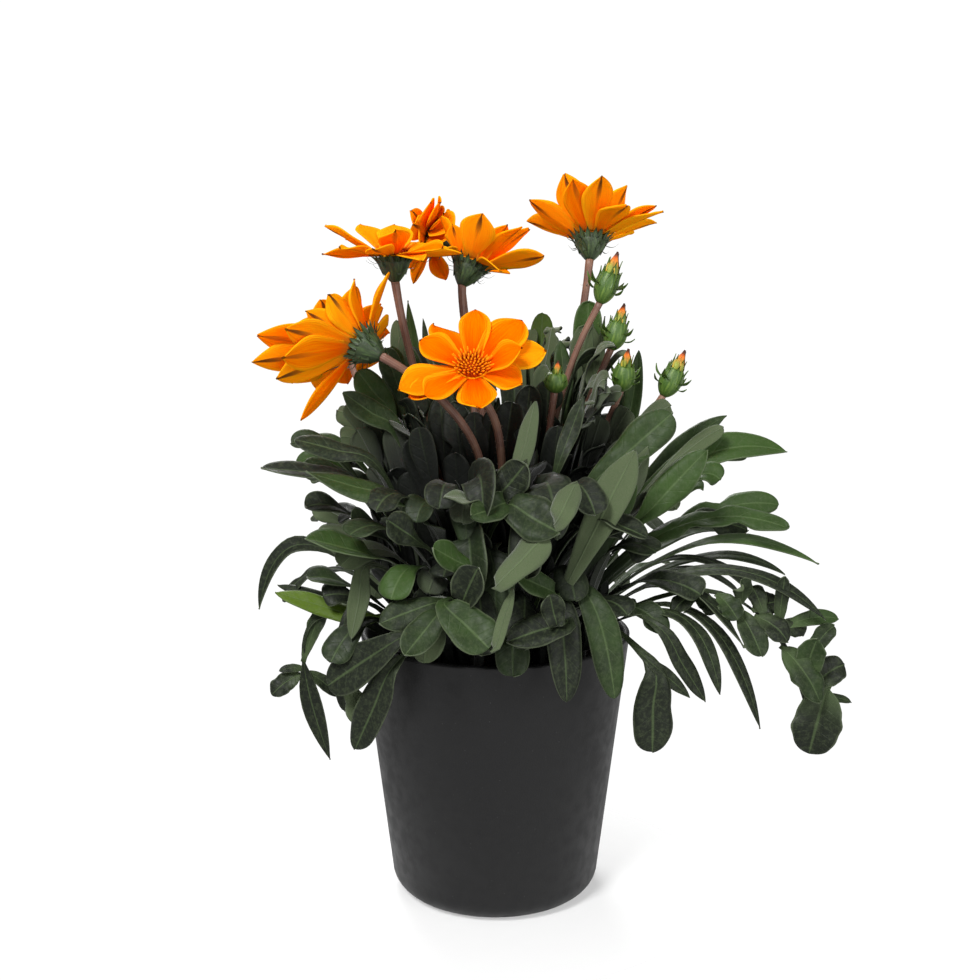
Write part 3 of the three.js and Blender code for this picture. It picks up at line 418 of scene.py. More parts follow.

# ------------------------------------------------------------------ blooms and buds
# A stem is a list of given points (x, y, z) from its root to its top.
# axis is the way the head faces. cup is the petals' rise above the head's own plane, in degrees,
# and lean adds to it on one side: (degrees, azimuth in the head's own plane). tips gives petals by their
# tip as the camera sees it: (right, down, rise in millimetres over the petals' seat, width), and others
# the azimuths of the rest. Only the rest use length, width, uneven, which varies their rise in degrees,
# and stretch, which lengthens them toward one side: (share, azimuth). droop lowers the tips by so many
# millimetres. blunt petals have broad ends. ripe makes petals yellower, partly as painted light on the
# upper blooms, which catch more of it, and makes the stripes on their backs stronger.
PLAIN_BLOOM = {
    "blunt": False, "lean": (0, 0), "droop": 0, "ripe_and_lit": 0, "stretch": (0, 0), "tips": (), "others": (),
}
BLOOMS = (
    {
        **PLAIN_BLOOM,
        "stem": ((11, 11, 92), (20, 20, 150), (31, 31, 205), (39, 38, 250), (43, 38, 281)),
        "axis": (0.06, 0.42, 0.9),
        "length": 29, "width": 12, "uneven": 6, "cup": 31, "ripe_and_lit": 0.4,
        "tips": (
            (528, 202, 12, 16), (563, 175, 20, 15), (572.5, 177, 15, 14), (601, 174, 16, 15),
            (629, 187, 20, 19), (626, 202, 5, 15), (654.5, 202, 14, 14), (662, 209, 10, 15),
        ),
        "others": (15, 50, 85, 118, 152),
    },
    {
        **PLAIN_BLOOM,
        "stem": ((-10, 2, 92), (-17, 1, 150), (-28, 0, 205), (-39, 0, 250), (-43, 0, 272)),
        "axis": (-0.04, 0.04, 1),
        "length": 24, "width": 12, "uneven": 8, "cup": 15, "lean": (8, 180), "ripe_and_lit": 0.4,
        "tips": (
            (325, 226.5, 13.4, 10), (322, 255, 1, 12), (362, 221, 16.2, 15), (395, 221, 15.8, 16),
            (339.5, 243, 5.2, 11), (421, 257.5, -2.4, 12), (463, 257, -2.2, 12), (373, 249, 1.6, 12),
            (433.5, 244, 5.1, 13),
        ),
        "others": (25, 147, 275, 322),
    },
    {
        **PLAIN_BLOOM,
        "stem": ((-5, 11, 92), (-7, 17, 150), (-9, 28, 210), (-14.5, 42, 262), (-20, 52, 288)),
        "axis": (-0.8, 0.5, 0.3),
        "length": 17, "width": 13, "uneven": 8, "cup": 4, "lean": (30, 90),
        "tips": (
            (411.5, 210.5, 2, 9), (431, 203, -6, 15), (441.5, 203, -10, 15), (446.5, 216, -11, 13),
            (414, 224.5, -3, 12), (417, 244, -6, 12), (412.5, 283.5, 1, 10), (444, 280.5, -9, 11),
            (449, 238, -15, 16), (453, 226, -15, 17),
        ),
        "others": (65, 105, 222),
    },
    {
        **PLAIN_BLOOM,
        "stem": ((4, 3, 92), (2, 6, 150), (-4, 12, 205), (-12, 18, 245), (-15, 18, 270)),
        "axis": (0.38, 0.34, 0.9),
        "length": 25, "width": 11, "uneven": 7, "cup": 30, "lean": (9, 150), "ripe_and_lit": 0.4,
        "tips": (
            (452, 225, 9, 12), (482, 215, 13, 16), (508, 225, 17, 12), (520, 225, 20, 12),
            (527, 226.5, 22, 11), (544, 255, 13, 16), (443.5, 244, 1, 11), (502.5, 266.5, -3.5, 12),
        ),
        "others": (20, 55, 90, 125, 155),
    },
    {
        **PLAIN_BLOOM,
        "stem": (
            (-6, -14, 92), (-5, -19, 150), (-4, -25, 190), (-11, -30, 212),
            (-23, -34, 226), (-35, -38, 237), (-46, -39, 243),
        ),
        "axis": (-0.8, 0.42, 0.42),
        "length": 34, "width": 13, "uneven": 9, "cup": 30, "lean": (16, 270), "stretch": (0.22, 200),
        "tips": (
            (329, 294, 12, 13), (351, 280, 14, 18), (387, 272, 10, 14), (383, 308, 8, 11), (306, 312, 14, 11),
            (286, 330, 10, 13), (258, 336, 22, 14), (253, 363, 20, 14), (276, 379, 12, 17), (300, 420, 4, 8),
            (284, 359, 6, 15), (320, 371, 17, 13), (338, 362, 16, 13),
        ),
        "others": (75, 105),
    },
    {
        **PLAIN_BLOOM,
        "stem": ((4, -14, 92), (4, -20, 150), (3, -27, 195), (-1, -31, 222), (-10, -37, 230)),
        "axis": (0.05, -0.64, 0.77),
        "blunt": True, "cup": 14,
        "tips": (
            (475, 309, 8, 13), (522, 321, 6, 18), (546, 351, 2, 13), (520, 346, 12, 13), (522, 383, 0, 15),
            (479, 410, 2, 16), (425, 393, 5, 13), (409, 399, -3, 11), (398, 387, 0, 16), (420, 340, 4, 16),
            (434, 325, -3, 14),
        ),
    },
    {
        **PLAIN_BLOOM,
        "stem": ((-19, 0, 92), (-28, 0, 150), (-45, 1, 195), (-58, 5, 222), (-63, 12, 236)),
        "axis": (-0.5, 0.7, 0.5),
        "length": 23, "width": 12, "uneven": 8, "cup": 18, "droop": 1,
        "others": (6, 42, 78, 114, 150, 186, 222, 258, 294, 330),
    },
)

BUDS = (
    {
        "stem": ((9, 2, 92), (14, 1.5, 150), (24, 1, 205), (36, 1, 246), (45, 1, 263)),
        "axis": (0.35, 0, 1), "size": 1,
    },
    {
        "stem": ((14, -2, 92), (21, -1.5, 150), (33, -1, 200), (45, 0, 232), (50, 1, 243)),
        "axis": (0.3, 0.1, 1), "size": 0.9,
    },
    {
        "stem": ((18, 2, 92), (28, 1, 150), (42, -1, 195), (52, -4, 220), (54, -6, 226)),
        "axis": (0.15, -0.2, 1), "size": 0.82,
    },
    {
        "stem": ((22, -2, 92), (35, -1, 150), (52, 0, 190), (67, 0, 215), (73, 0, 223)),
        "axis": (0.42, 0, 0.9), "size": 0.95,
    },
    {
        "stem": ((13, -9, 92), (17, -11, 150), (22, -13, 200), (25, -14, 226)),
        "axis": (0.12, -0.1, 1), "size": 0.6,
    },
)

# A stem runs straight for its last NECK millimetres and STEM_GRIP of them into its cup. One stem carries
# dried bracts, at a share of its length.
STEM_GRIP, NECK = 0.9, 4
STEM_SIDES, STEM_SAMPLES, STEM_SMOOTHINGS = 16, 60, 24
STEM_HAIRS, HAIR_ROOT_RADIUS, HAIR_TIP_RADIUS = 260, 0.05, 0.005
DRY_BRACT_STEM, DRY_BRACT_PLACE = "bloom_1", 0.935

# Radii and heights in a head's own frame, whose middle is the top of its stem.
CUP_HEIGHT = 10.6
CUP_TEETH = 18
TOOTH_ROOT = (7.0, 8.4)
PETAL_ROOT, PETAL_HEIGHT = 5.8, 11.4
PETAL_SEAT = ((0, 10.3), (5.6, 10.4), (6.4, 10.9), (6.1, 11.7), (5.0, 12.1), (0, 12.1))
DISC_BASE, DISC_RADIUS = 12.2, 5.9
DOME_FOOT, DOME_RADIUS, DOME_RISE = DISC_BASE - 0.3, DISC_RADIUS - 0.2, 1.6
BUD_BASE, BUD_TIP = 10.3, 23

# A petal is widest at its crest. Each rolls by some degrees, so that it lies over the next. Petals
# that have no tip of their own above are made fuller.
PETAL_CREST, PETAL_ROLL = 0.6, 9
PETAL_FULLNESS = 1.22
PETAL_COLUMNS, PETAL_STEPS = 10, 20

# Each floret stands this many degrees round the disc from the last.
GOLDEN_ANGLE = 137.508


def linear(hex_colour):
    """An sRGB hex value as linear red, green and blue, with an alpha of 1."""
    channels = (int(hex_colour[start:start + 2], 16) / 255 for start in (1, 3, 5))
    return (*(c / 12.92 if c <= 0.04045 else ((c + 0.055) / 1.055) ** 2.4 for c in channels), 1.0)


def mix(start, end, share):
    return start + (end - start) * share


def clamp(value, low, high):
    return min(high, max(low, value))


def smooth_step(low, high, value):
    share = clamp((value - low) / (high - low), 0, 1)
    return share * share * (3 - 2 * share)


def polar(azimuth, radius, height=0.0):
    turn = math.radians(azimuth)
    return Vector((radius * math.cos(turn), radius * math.sin(turn), height))


def heading(curve, t):
    """The way a curve runs at t."""
    return (curve(min(1, t + 0.01)) - curve(max(0, t - 0.01))).normalized()


def turn_toward(start, goal, angle):
    """start turned by an angle in radians toward goal, which stands at right angles to it."""
    return start * math.cos(angle) + goal * math.sin(angle)


CAMERA_EYE = Vector((CAMERA_SIDE, -CAMERA_DISTANCE, CAMERA_HEIGHT))


def sight_line(right, down):
    """The way from the camera through a point of its frame."""
    pitch = math.radians(CAMERA_PITCH)
    ahead = Vector((0, math.cos(pitch), -math.sin(pitch)))
    above = Vector((0, math.sin(pitch), math.cos(pitch)))
    pixel = SENSOR / LENS / FRAME_SIZE
    middle = FRAME_SIZE / 2
    return ahead + Vector((1, 0, 0)) * ((right - middle) * pixel) + above * ((middle - down) * pixel)


def seen_at(right, down, depth):
    """The point with y = depth that the camera sees there."""
    way = sight_line(right, down)
    return CAMERA_EYE + way * ((depth - CAMERA_EYE.y) / way.y)


# ------------------------------------------------------------------ settings
def colour_property(name, description, hex_colour):
    return FloatVectorProperty(
        name=name, description=description, subtype="COLOR", size=4, min=0, max=1,
        default=linear(hex_colour),
    )


def length_property(name, description, millimetres):
    return FloatProperty(
        name=name, description=f"{description}, in millimetres", default=millimetres, min=0,
    )


class GazaniaPot(bpy.types.PropertyGroup):
    """Sizes and colours of the pot and the soil in it."""

    wall: length_property("Wall", "Thickness of the pot's wall", 3.0)
    fillet: length_property("Foot fillet", "Radius of the rounded edge round the base", 10.0)
    lip: length_property("Lip", "Radius of the rounded rim", 1.4)
    crumbs: IntProperty(name="Crumbs", description="Loose crumbs on the soil", default=1500, min=0)
    pot_colour: colour_property("Pot", "Anthracite plastic", "#0f0f10")
    fleck_colour: colour_property("Flecks", "Pale flecks in the plastic", "#4a4a4b")
    soil_colour: colour_property("Soil", "Damp potting mix", "#17120e")


class GazaniaLeaves(bpy.types.PropertyGroup):
    """Sizes and colours of the leaves."""

    thickness: length_property("Thickness", "Thickness of a blade", 0.5)
    wave: length_property("Wave", "Height of the waves along a blade's edge", 1.4)
    inner_leaves: IntProperty(
        name="Inner leaves", description="Leaves inside each shoot", default=28, min=0,
    )
    stalks: IntProperty(
        name="Stalks", description="Young leaves standing out of the soil in each shoot", default=20, min=0,
    )
    dark_colour: colour_property("Dark", "Old leaves from above", "#12190d")
    light_colour: colour_property("Light", "Young leaves from above", "#354f1c")
    young_colour: colour_property("Very young", "The youngest leaves", "#4e660c")
    felt_colour: colour_property("Felt", "Grey felt under a leaf", "#505b3d")
    rib_colour: colour_property("Rib", "Midrib and veins", "#5f7348")
    # Painted shade: the near-black of leaves deep inside the plant.
    painted_shade_colour: colour_property("Inside", "Leaves deep inside the plant", "#090c09")


class GazaniaBlooms(bpy.types.PropertyGroup):
    """Sizes and colours of the blooms, buds and stems."""

    petal_thickness: length_property("Petal thickness", "Thickness of a petal", 0.45)
    stem_radius: length_property("Stem radius", "Radius of a bloom's stem", 1.7)
    bud_stem_radius: length_property("Bud stem radius", "Radius of a bud's stem", 1.4)
    hair_length: length_property("Hairs", "Length of the hairs on a stem", 0.9)
    florets: IntProperty(name="Florets", description="Florets on a disc", default=70, min=1)
    petal_colour: colour_property("Petal", "Middle of a petal", "#ff7000")
    petal_back_colour: colour_property("Petal back", "Middle of a petal's back", "#ff8200")
    petal_root_colour: colour_property("Petal root", "Deep orange where a petal starts", "#ee4a00")
    petal_edge_colour: colour_property("Petal edge", "Yellower edge of a petal", "#ffb414")
    stripe_colour: colour_property("Stripe", "Stripe on a petal's back", "#5f3a18")
    petal_foot_colour: colour_property("Petal foot", "Olive foot of a petal's back", "#8a6a24")
    tip_colour: colour_property("Tip", "Dark point of a petal or bud", "#2b130c")
    floret_colour: colour_property("Floret", "Florets of the disc", "#ff9a10")
    cup_colour: colour_property("Cup", "Green cup under a bloom", "#26361b")
    bud_colour: colour_property("Bud", "Green cup of a bud", "#3f5e1e")
    stem_colour: colour_property("Stem", "Red-brown stem", "#67463a")


class GazaniaStage(bpy.types.PropertyGroup):
    """The floor, the lights and the camera."""

    floor_colour: colour_property("Floor", "Matte white paper sweep", "#f7f7f7")
    camera_distance: length_property("Camera distance", "From the pot's axis to the camera", CAMERA_DISTANCE)
    camera_height: length_property("Camera height", "Height of the camera", CAMERA_HEIGHT)
    camera_side: FloatProperty(
        name="Camera side", description="Sideways, in millimetres", default=CAMERA_SIDE,
    )
    camera_pitch: FloatProperty(
        name="Camera pitch", description="Downward tilt", subtype="ANGLE", default=math.radians(CAMERA_PITCH),
    )
    lens: FloatProperty(name="Lens", description="Focal length", default=LENS, unit="CAMERA")


# ------------------------------------------------------------------ pieces
def new_mesh():
    """An empty bmesh with a UV map, a tone for each leaf or petal, and its painted shade inside the plant."""
    bm = bmesh.new()
    bm.loops.layers.uv.new("UVMap")
    bm.verts.layers.float.new("tone")
    bm.verts.layers.float.new("inside")
    return bm


def finish_piece(bm, name, node, materials, thickness=0.0):
    """Turns bm into an object in metres that stands for a CAD node and rides on the plant's body."""
    bmesh.ops.scale(bm, vec=(MM, MM, MM), verts=bm.verts)
    mesh = bpy.data.meshes.new(name)
    bm.to_mesh(mesh)
    bm.free()
    for material in materials:
        mesh.materials.append(material)
    mesh.shade_smooth()
    piece = bpy.data.objects.new(name, mesh)
    bpy.context.scene.collection.objects.link(piece)
    if thickness:
        wall = piece.modifiers.new("Blade thickness", "SOLIDIFY")
        wall.thickness = thickness * MM
        wall.offset = -1
        wall.material_offset = 1 if len(materials) > 1 else 0
        wall.use_even_offset = False
    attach(piece, "root")
    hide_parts(node)
    return piece


def paint(verts, material):
    """Gives the faces at these points a material, by its place in the piece's list."""
    for face in {face for vert in verts for face in vert.link_faces}:
        face.material_index = material


def add_grid(bm, across, along, place, tone=MIDDLE_TONE, material=0):
    """Adds a grid and lays it out: place(side, way) gives the point for side -1 to 1 and way 0 to 1."""
    tone_layer = bm.verts.layers.float["tone"]
    grid = bmesh.ops.create_grid(
        bm, x_segments=across, y_segments=along, size=1, calc_uvs=True,
    )
    for vert in grid["verts"]:
        vert.co = place(vert.co.x, (vert.co.y + 1) / 2)
        vert[tone_layer] = tone
    paint(grid["verts"], material)
    return grid["verts"]


def add_tube(bm, centre, radius, sides, steps, tone=MIDDLE_TONE):
    """Adds a closed tube along centre(t), with radius(t), its ends closed by flat caps."""
    rings = []
    side = Vector((1, 0, 0))
    for step in range(steps + 1):
        t = step / steps
        tangent = heading(centre, t)
        side = (side - tangent * side.dot(tangent)).normalized()
        rings.append((centre(t), side.copy(), tangent.cross(side), radius(t)))

    def place(across, way):
        middle, ring_side, ring_up, reach = rings[round(way * steps)]
        return middle + turn_toward(ring_side, ring_up, math.pi * across) * reach

    verts = add_grid(bm, sides, steps, place, tone)
    bmesh.ops.remove_doubles(bm, verts=verts, dist=MERGE_DISTANCE)
    verts = [vert for vert in verts if vert.is_valid]
    edges = {edge for vert in verts for edge in vert.link_edges if edge.is_boundary}
    bmesh.ops.holes_fill(bm, edges=list(edges), sides=sides)


def add_lathe(bm, profile, steps, matrix=Matrix.Identity(4)):
    """Adds a profile of (radius, height) points spun round +Z, then moved by matrix. Gives its points."""
    tone_layer = bm.verts.layers.float["tone"]
    verts = [bm.verts.new((radius, 0, height)) for radius, height in profile]
    edges = [bm.edges.new(pair) for pair in zip(verts, verts[1:])]
    spun = bmesh.ops.spin(
        bm, geom=verts + edges, axis=(0, 0, 1), cent=(0, 0, 0), angle=math.tau, steps=steps,
        use_merge=True,
    )
    reached = set(verts)
    for item in spun["geom_last"]:
        if isinstance(item, bmesh.types.BMVert) and item.is_valid:
            reached.add(item)
    pending = [vert for vert in reached if vert.is_valid]
    whole = set(pending)
    while pending:
        for edge in pending.pop().link_edges:
            for vert in edge.verts:
                if vert not in whole:
                    whole.add(vert)
                    pending.append(vert)
    bmesh.ops.remove_doubles(bm, verts=list(whole), dist=MERGE_DISTANCE)
    whole = {vert for vert in whole if vert.is_valid}
    faces = list({face for vert in whole for face in vert.link_faces})
    bmesh.ops.recalc_face_normals(bm, faces=faces)
    for vert in whole:
        vert.co = matrix @ vert.co
        vert[tone_layer] = MIDDLE_TONE
    return whole


# ------------------------------------------------------------------ nodes of materials
# Settings of a Mix node of colours, whose sockets are 0 for the share, 6 and 7 for the two colours,
# and of a Map Range node that eases in and out: value, from low, from high, to low, to high.
COLOURS = {"data_type": "RGBA", "output": 2}
EASED = {"interpolation_type": "SMOOTHSTEP"}


def add_node(tree, kind, inputs=(), output=0, **settings):
    """Adds a node and gives one of its outputs. inputs are values or other outputs, in order or by socket."""
    node = tree.nodes.new("ShaderNode" + kind)
    for name, value in settings.items():
        setattr(node, name, value)
    for socket, value in (inputs if isinstance(inputs, dict) else dict(enumerate(inputs))).items():
        if isinstance(value, bpy.types.NodeSocket):
            tree.links.new(value, node.inputs[socket])
        else:
            node.inputs[socket].default_value = value
    return node.outputs[output]


def new_material(label, **shader):
    """A material whose shader has these settings, with its node tree."""
    material = bpy.data.materials.new(label)
    material.use_nodes = True
    tree = material.node_tree
    sockets = tree.nodes["Principled BSDF"].inputs
    for name, value in shader.items():
        sockets[name.replace("_", " ")].default_value = value
    return material, tree


def finish_material(material, colour, relief, distance, strength, roughness=None):
    """Gives the shader its colour, its relief and, where it varies, its roughness."""
    tree = material.node_tree
    sockets = tree.nodes["Principled BSDF"].inputs
    tree.links.new(colour, sockets["Base Color"])
    bump = {"Height": relief, "Distance": distance, "Strength": strength}
    tree.links.new(add_node(tree, "Bump", bump), sockets["Normal"])
    if roughness is not None:
        tree.links.new(roughness, sockets["Roughness"])
    return material


def blade_coordinates(tree):
    """Across the blade from -1 to 1, its distance from the middle, and the way along from 0 to 1."""
    uv = add_node(tree, "TexCoord", output="UV")
    right = add_node(tree, "SeparateXYZ", [uv])
    way = add_node(tree, "SeparateXYZ", [uv], output=1)
    across = add_node(tree, "Math", (right, 2.0, -1.0), operation="MULTIPLY_ADD")
    return across, add_node(tree, "Math", [across], operation="ABSOLUTE"), way


def layer_colours(tree, base, *layers):
    """Lays colours over a base in turn. Each layer is how much of it shows, and its colour. How much is
    the output of a node, or the inputs of a Map Range node that eases in and out."""
    for share, colour in layers:
        if isinstance(share, tuple):
            share = add_node(tree, "MapRange", share, **EASED)
        base = add_node(tree, "Mix", {0: share, 6: base, 7: colour}, **COLOURS)
    return base


def leaf_veins(tree, from_middle, way):
    """Side veins that leave the midrib forward, eleven to a side."""
    stations = add_node(tree, "Math", (way, 11.0), operation="MULTIPLY")
    ahead = add_node(tree, "Math", (stations, from_middle), operation="SUBTRACT")
    saw = add_node(tree, "Math", [ahead], operation="FRACT")
    off_ridge = add_node(tree, "Math", (saw, 0.5), operation="SUBTRACT")
    ridge = add_node(tree, "Math", [off_ridge], operation="ABSOLUTE")
    return add_node(tree, "MapRange", (ridge, 0.08, 0.0), **EASED)


def leaf_midrib(tree, from_middle):
    return add_node(tree, "MapRange", (from_middle, 0.1, 0.02), **EASED)


def leaf_upper_material(look):
    """Thin down over deep green: dark and satin, with a paler midrib and a fine pale edge."""
    material, tree = new_material("downy_leaf_surface", Specular_IOR_Level=0.28)
    _, from_middle, way = blade_coordinates(tree)
    place = add_node(tree, "TexCoord", output="Object")
    tone = add_node(tree, "Attribute", output="Fac", attribute_name="tone")
    cloud = add_node(tree, "TexNoise", {"Vector": place, "Scale": 1 / (9 * MM), "Detail": 3.0})
    shade = add_node(tree, "Math", (cloud, 0.5, tone), operation="MULTIPLY_ADD")
    veins = leaf_veins(tree, from_middle, way)
    midrib = leaf_midrib(tree, from_middle)
    dusty = {"Vector": place, "Scale": 1 / (1.8 * MM), "Detail": 6.0, "Roughness": 0.75}
    dust = add_node(tree, "TexNoise", dusty)
    base = layer_colours(
        tree, look.dark_colour,
        ((shade, 0.35, 1.35), look.light_colour),
        ((tone, 1.2, 2.0), look.young_colour),
        ((dust, 0.44, 0.66, 0.0, 0.28), look.felt_colour),
        (add_node(tree, "Math", (veins, 0.06), operation="MULTIPLY"), look.rib_colour),
        (add_node(tree, "Math", (midrib, 0.34), operation="MULTIPLY"), look.rib_colour),
        ((from_middle, 0.88, 1.0, 0.0, 0.38), linear("#727d60")),
        ((way, 0.45, 0.05, 0.0, 0.35), look.rib_colour),
        # Painted shade: leaves darken toward black deep inside the plant, by the inside attribute.
        (add_node(tree, "Attribute", output="Fac", attribute_name="inside"), look.painted_shade_colour),
    )
    quilt = add_node(tree, "TexNoise", {"Vector": place, "Scale": 1 / (1.6 * MM), "Detail": 2.0})
    relief = add_node(tree, "Math", (midrib, -0.9, quilt), operation="MULTIPLY_ADD")
    relief = add_node(tree, "Math", (veins, -0.5, relief), operation="MULTIPLY_ADD")
    patches = add_node(tree, "TexNoise", {"Vector": place, "Scale": 1 / (4 * MM), "Detail": 3.0})
    roughness = add_node(tree, "MapRange", (patches, 0.3, 0.7, 0.5, 0.72), **EASED)
    return finish_material(material, base, relief, 0.3 * MM, 0.5, roughness)


def leaf_under_material(look):
    """Short grey felt under the leaf: pale, quite matte, with the midrib standing out."""
    material, tree = new_material("felted_leaf_underside", Roughness=0.85, Sheen_Weight=0.3)
    _, from_middle, _ = blade_coordinates(tree)
    place = add_node(tree, "TexCoord", output="Object")
    midrib = leaf_midrib(tree, from_middle)
    felted = {"Vector": place, "Scale": 1 / (0.5 * MM), "Detail": 4.0, "Roughness": 0.7}
    felt = add_node(tree, "TexNoise", felted)
    base = layer_colours(
        tree, look.felt_colour,
        ((felt, 0.3, 0.7, 0.0, 0.45), look.light_colour),
        (add_node(tree, "Math", (midrib, 0.4), operation="MULTIPLY"), look.rib_colour),
        # Painted shade: undersides darken toward black deep inside the plant, by the inside attribute.
        (add_node(tree, "Attribute", output="Fac", attribute_name="inside"), look.painted_shade_colour),
    )
    relief = add_node(tree, "Math", (midrib, 1.5, felt), operation="MULTIPLY_ADD")
    return finish_material(material, base, relief, 0.3 * MM, 0.8)


def petal_lines(tree, across, way):
    """Thin lines along a petal, a few tenths of a millimetre apart."""
    wide = add_node(tree, "Math", (across, 16.0), operation="MULTIPLY")
    long = add_node(tree, "Math", (way, 1.6), operation="MULTIPLY")
    stretched = add_node(tree, "CombineXYZ", (wide, long))
    cloud = add_node(tree, "TexNoise", {"Vector": stretched, "Scale": 1.0, "Detail": 3.0})
    return add_node(tree, "MapRange", (cloud, 0.46, 0.66), **EASED)


def petal_base(tree, look, middle_colour, from_middle, way, tone, lines):
    """Orange that is deeper at the root, yellower at the edge, and finely lined along the petal."""
    return layer_colours(
        tree, middle_colour,
        ((way, 0.6, 0.0, 0.0, 0.95), look.petal_root_colour),
        ((from_middle, 0.55, 1.0, 0.0, 0.6), look.petal_edge_colour),
        (add_node(tree, "Math", (lines, 0.6), operation="MULTIPLY"), look.petal_root_colour),
        ((tone, 0.3, 1.0, 0.0, 0.45), look.petal_edge_colour),
    )


def petal_face_material(look):
    """A fresh petal's upper face: vivid, velvety, light glows through it a little."""
    material, tree = new_material(
        "petal_face", Roughness=0.75, Specular_IOR_Level=0.0, Subsurface_Weight=0.2,
        Subsurface_Scale=1.5 * MM, Subsurface_Radius=(1.0, 0.35, 0.05),
    )
    across, from_middle, way = blade_coordinates(tree)
    tone = add_node(tree, "Attribute", output="Fac", attribute_name="tone")
    lines = petal_lines(tree, across, way)
    base = layer_colours(
        tree, petal_base(tree, look, look.petal_colour, from_middle, way, tone, lines),
        ((way, 0.94, 0.965, 0.0, 0.85), look.tip_colour),
    )
    return finish_material(material, base, lines, 0.15 * MM, 0.6)


def petal_back_material(look):
    """A petal's back: the same orange, with a brown stripe that ends in a dark point."""
    material, tree = new_material(
        "petal_back", Roughness=0.75, Specular_IOR_Level=0.0, Subsurface_Weight=0.35,
        Subsurface_Scale=1.5 * MM, Subsurface_Radius=(1.0, 0.35, 0.05),
    )
    across, from_middle, way = blade_coordinates(tree)
    tone = add_node(tree, "Attribute", output="Fac", attribute_name="tone")
    lines = petal_lines(tree, across, way)
    inside = add_node(tree, "Math", (lines, 0.1, from_middle), operation="MULTIPLY_ADD")
    half_width = add_node(tree, "MapRange", (way, 0.3, 0.9, 0.1, 0.22), **EASED)
    near = add_node(tree, "Math", (half_width, inside), operation="SUBTRACT")
    stripe = add_node(tree, "MapRange", (near, -0.06, 0.08), **EASED)
    along = add_node(tree, "MapRange", (way, 0.3, 0.86, 0.1, 1.0), **EASED)
    marked = add_node(tree, "MapRange", (tone, 0.1, 0.8, 0.25, 1.0), **EASED)
    stripe = add_node(tree, "Math", (stripe, along), operation="MULTIPLY")
    stripe = add_node(tree, "Math", (stripe, marked), operation="MULTIPLY")
    point = add_node(tree, "Math", (inside, -0.12, way), operation="MULTIPLY_ADD")
    base = layer_colours(
        tree, petal_base(tree, look, look.petal_back_colour, from_middle, way, tone, lines),
        (stripe, look.stripe_colour),
        ((way, 0.2, 0.0, 0.0, 0.6), look.petal_foot_colour),
        ((point, 0.88, 0.95, 0.0, 0.9), look.tip_colour),
    )
    return finish_material(material, base, lines, 0.15 * MM, 0.6)


def floret_material(look):
    """Florets: matte yellow-orange tubes with pollen-powdered tips and painted shade at their feet."""
    material, tree = new_material("floret", Roughness=0.8, Specular_IOR_Level=0.05)
    _, _, way = blade_coordinates(tree)
    place = add_node(tree, "TexCoord", output="Object")
    pollen = add_node(tree, "TexNoise", {"Vector": place, "Scale": 1 / (0.6 * MM), "Detail": 3.0})
    grains = add_node(tree, "TexNoise", {"Vector": place, "Scale": 1 / (0.3 * MM), "Detail": 3.0})
    base = layer_colours(
        # Painted shade: dark red-brown at the florets' feet and over the dome under them, for the gaps
        # between florets.
        tree, linear("#8c2c00"),
        ((way, 0.2, 0.95), look.floret_colour),
        ((pollen, 0.4, 0.7, 0.0, 0.5), look.petal_root_colour),
    )
    return finish_material(material, base, grains, 0.1 * MM, 0.6)


def cup_material(look, name, colour, pale, foot):
    """A green cup and its bracts: satin, with paler streaks and reddish points."""
    material, tree = new_material(name, Roughness=0.5)
    across, from_middle, way = blade_coordinates(tree)
    place = add_node(tree, "TexCoord", output="Object")
    tone = add_node(tree, "Attribute", output="Fac", attribute_name="tone")
    wide = add_node(tree, "Math", (across, 11.0), operation="MULTIPLY")
    long = add_node(tree, "Math", (way, 1.5), operation="MULTIPLY")
    lengthwise = add_node(tree, "CombineXYZ", (wide, long))
    streaks = add_node(tree, "TexNoise", {"Vector": lengthwise, "Scale": 1.0, "Detail": 2.0})
    point = add_node(tree, "MapRange", (way, 0.8, 1.0), **EASED)
    base = layer_colours(
        tree, colour,
        ((streaks, 0.45, 0.7, 0.0, 0.5), pale),
        ((way, 0.5, 0.0, 0.0, 0.5), foot),
        ((from_middle, 0.25, 0.05, 0.0, 0.35), pale),
        (add_node(tree, "Math", (point, tone), operation="MULTIPLY"), look.tip_colour),
    )
    grain = add_node(tree, "TexNoise", {"Vector": place, "Scale": 1 / (0.8 * MM), "Detail": 3.0})
    return finish_material(material, base, grain, 0.25 * MM, 0.7)


def stem_material(look):
    """A red-brown flower stem, finely ribbed lengthwise, with painted shade toward its foot inside the plant.
    """
    material, tree = new_material("ribbed_stem", Roughness=0.5)
    across, _, way = blade_coordinates(tree)
    place = add_node(tree, "TexCoord", output="Object")
    ribs = add_node(tree, "Math", (across, 11 * math.pi), operation="MULTIPLY")
    ribs = add_node(tree, "Math", [ribs], operation="SINE")
    patches = add_node(tree, "TexNoise", {"Vector": place, "Scale": 1 / (7 * MM), "Detail": 3.0})
    base = layer_colours(
        tree, look.stem_colour,
        ((patches, 0.35, 0.7, 0.0, 0.6), linear("#8e6a54")),
        # Painted shade: the stem darkens toward its foot, deep in the plant.
        ((way, 0.72, 0.3, 0.0, 0.85), linear("#241c15")),
        ((ribs, 0.2, 1.0, 0.0, 0.18), linear("#b08a78")),
    )
    return finish_material(material, base, ribs, 0.08 * MM, 0.5)


def hair_material():
    """Fine clear hairs, which read as a pale fuzz."""
    return new_material("stem_hair", Roughness=0.6, Base_Color=linear("#c9b9a8"))[0]


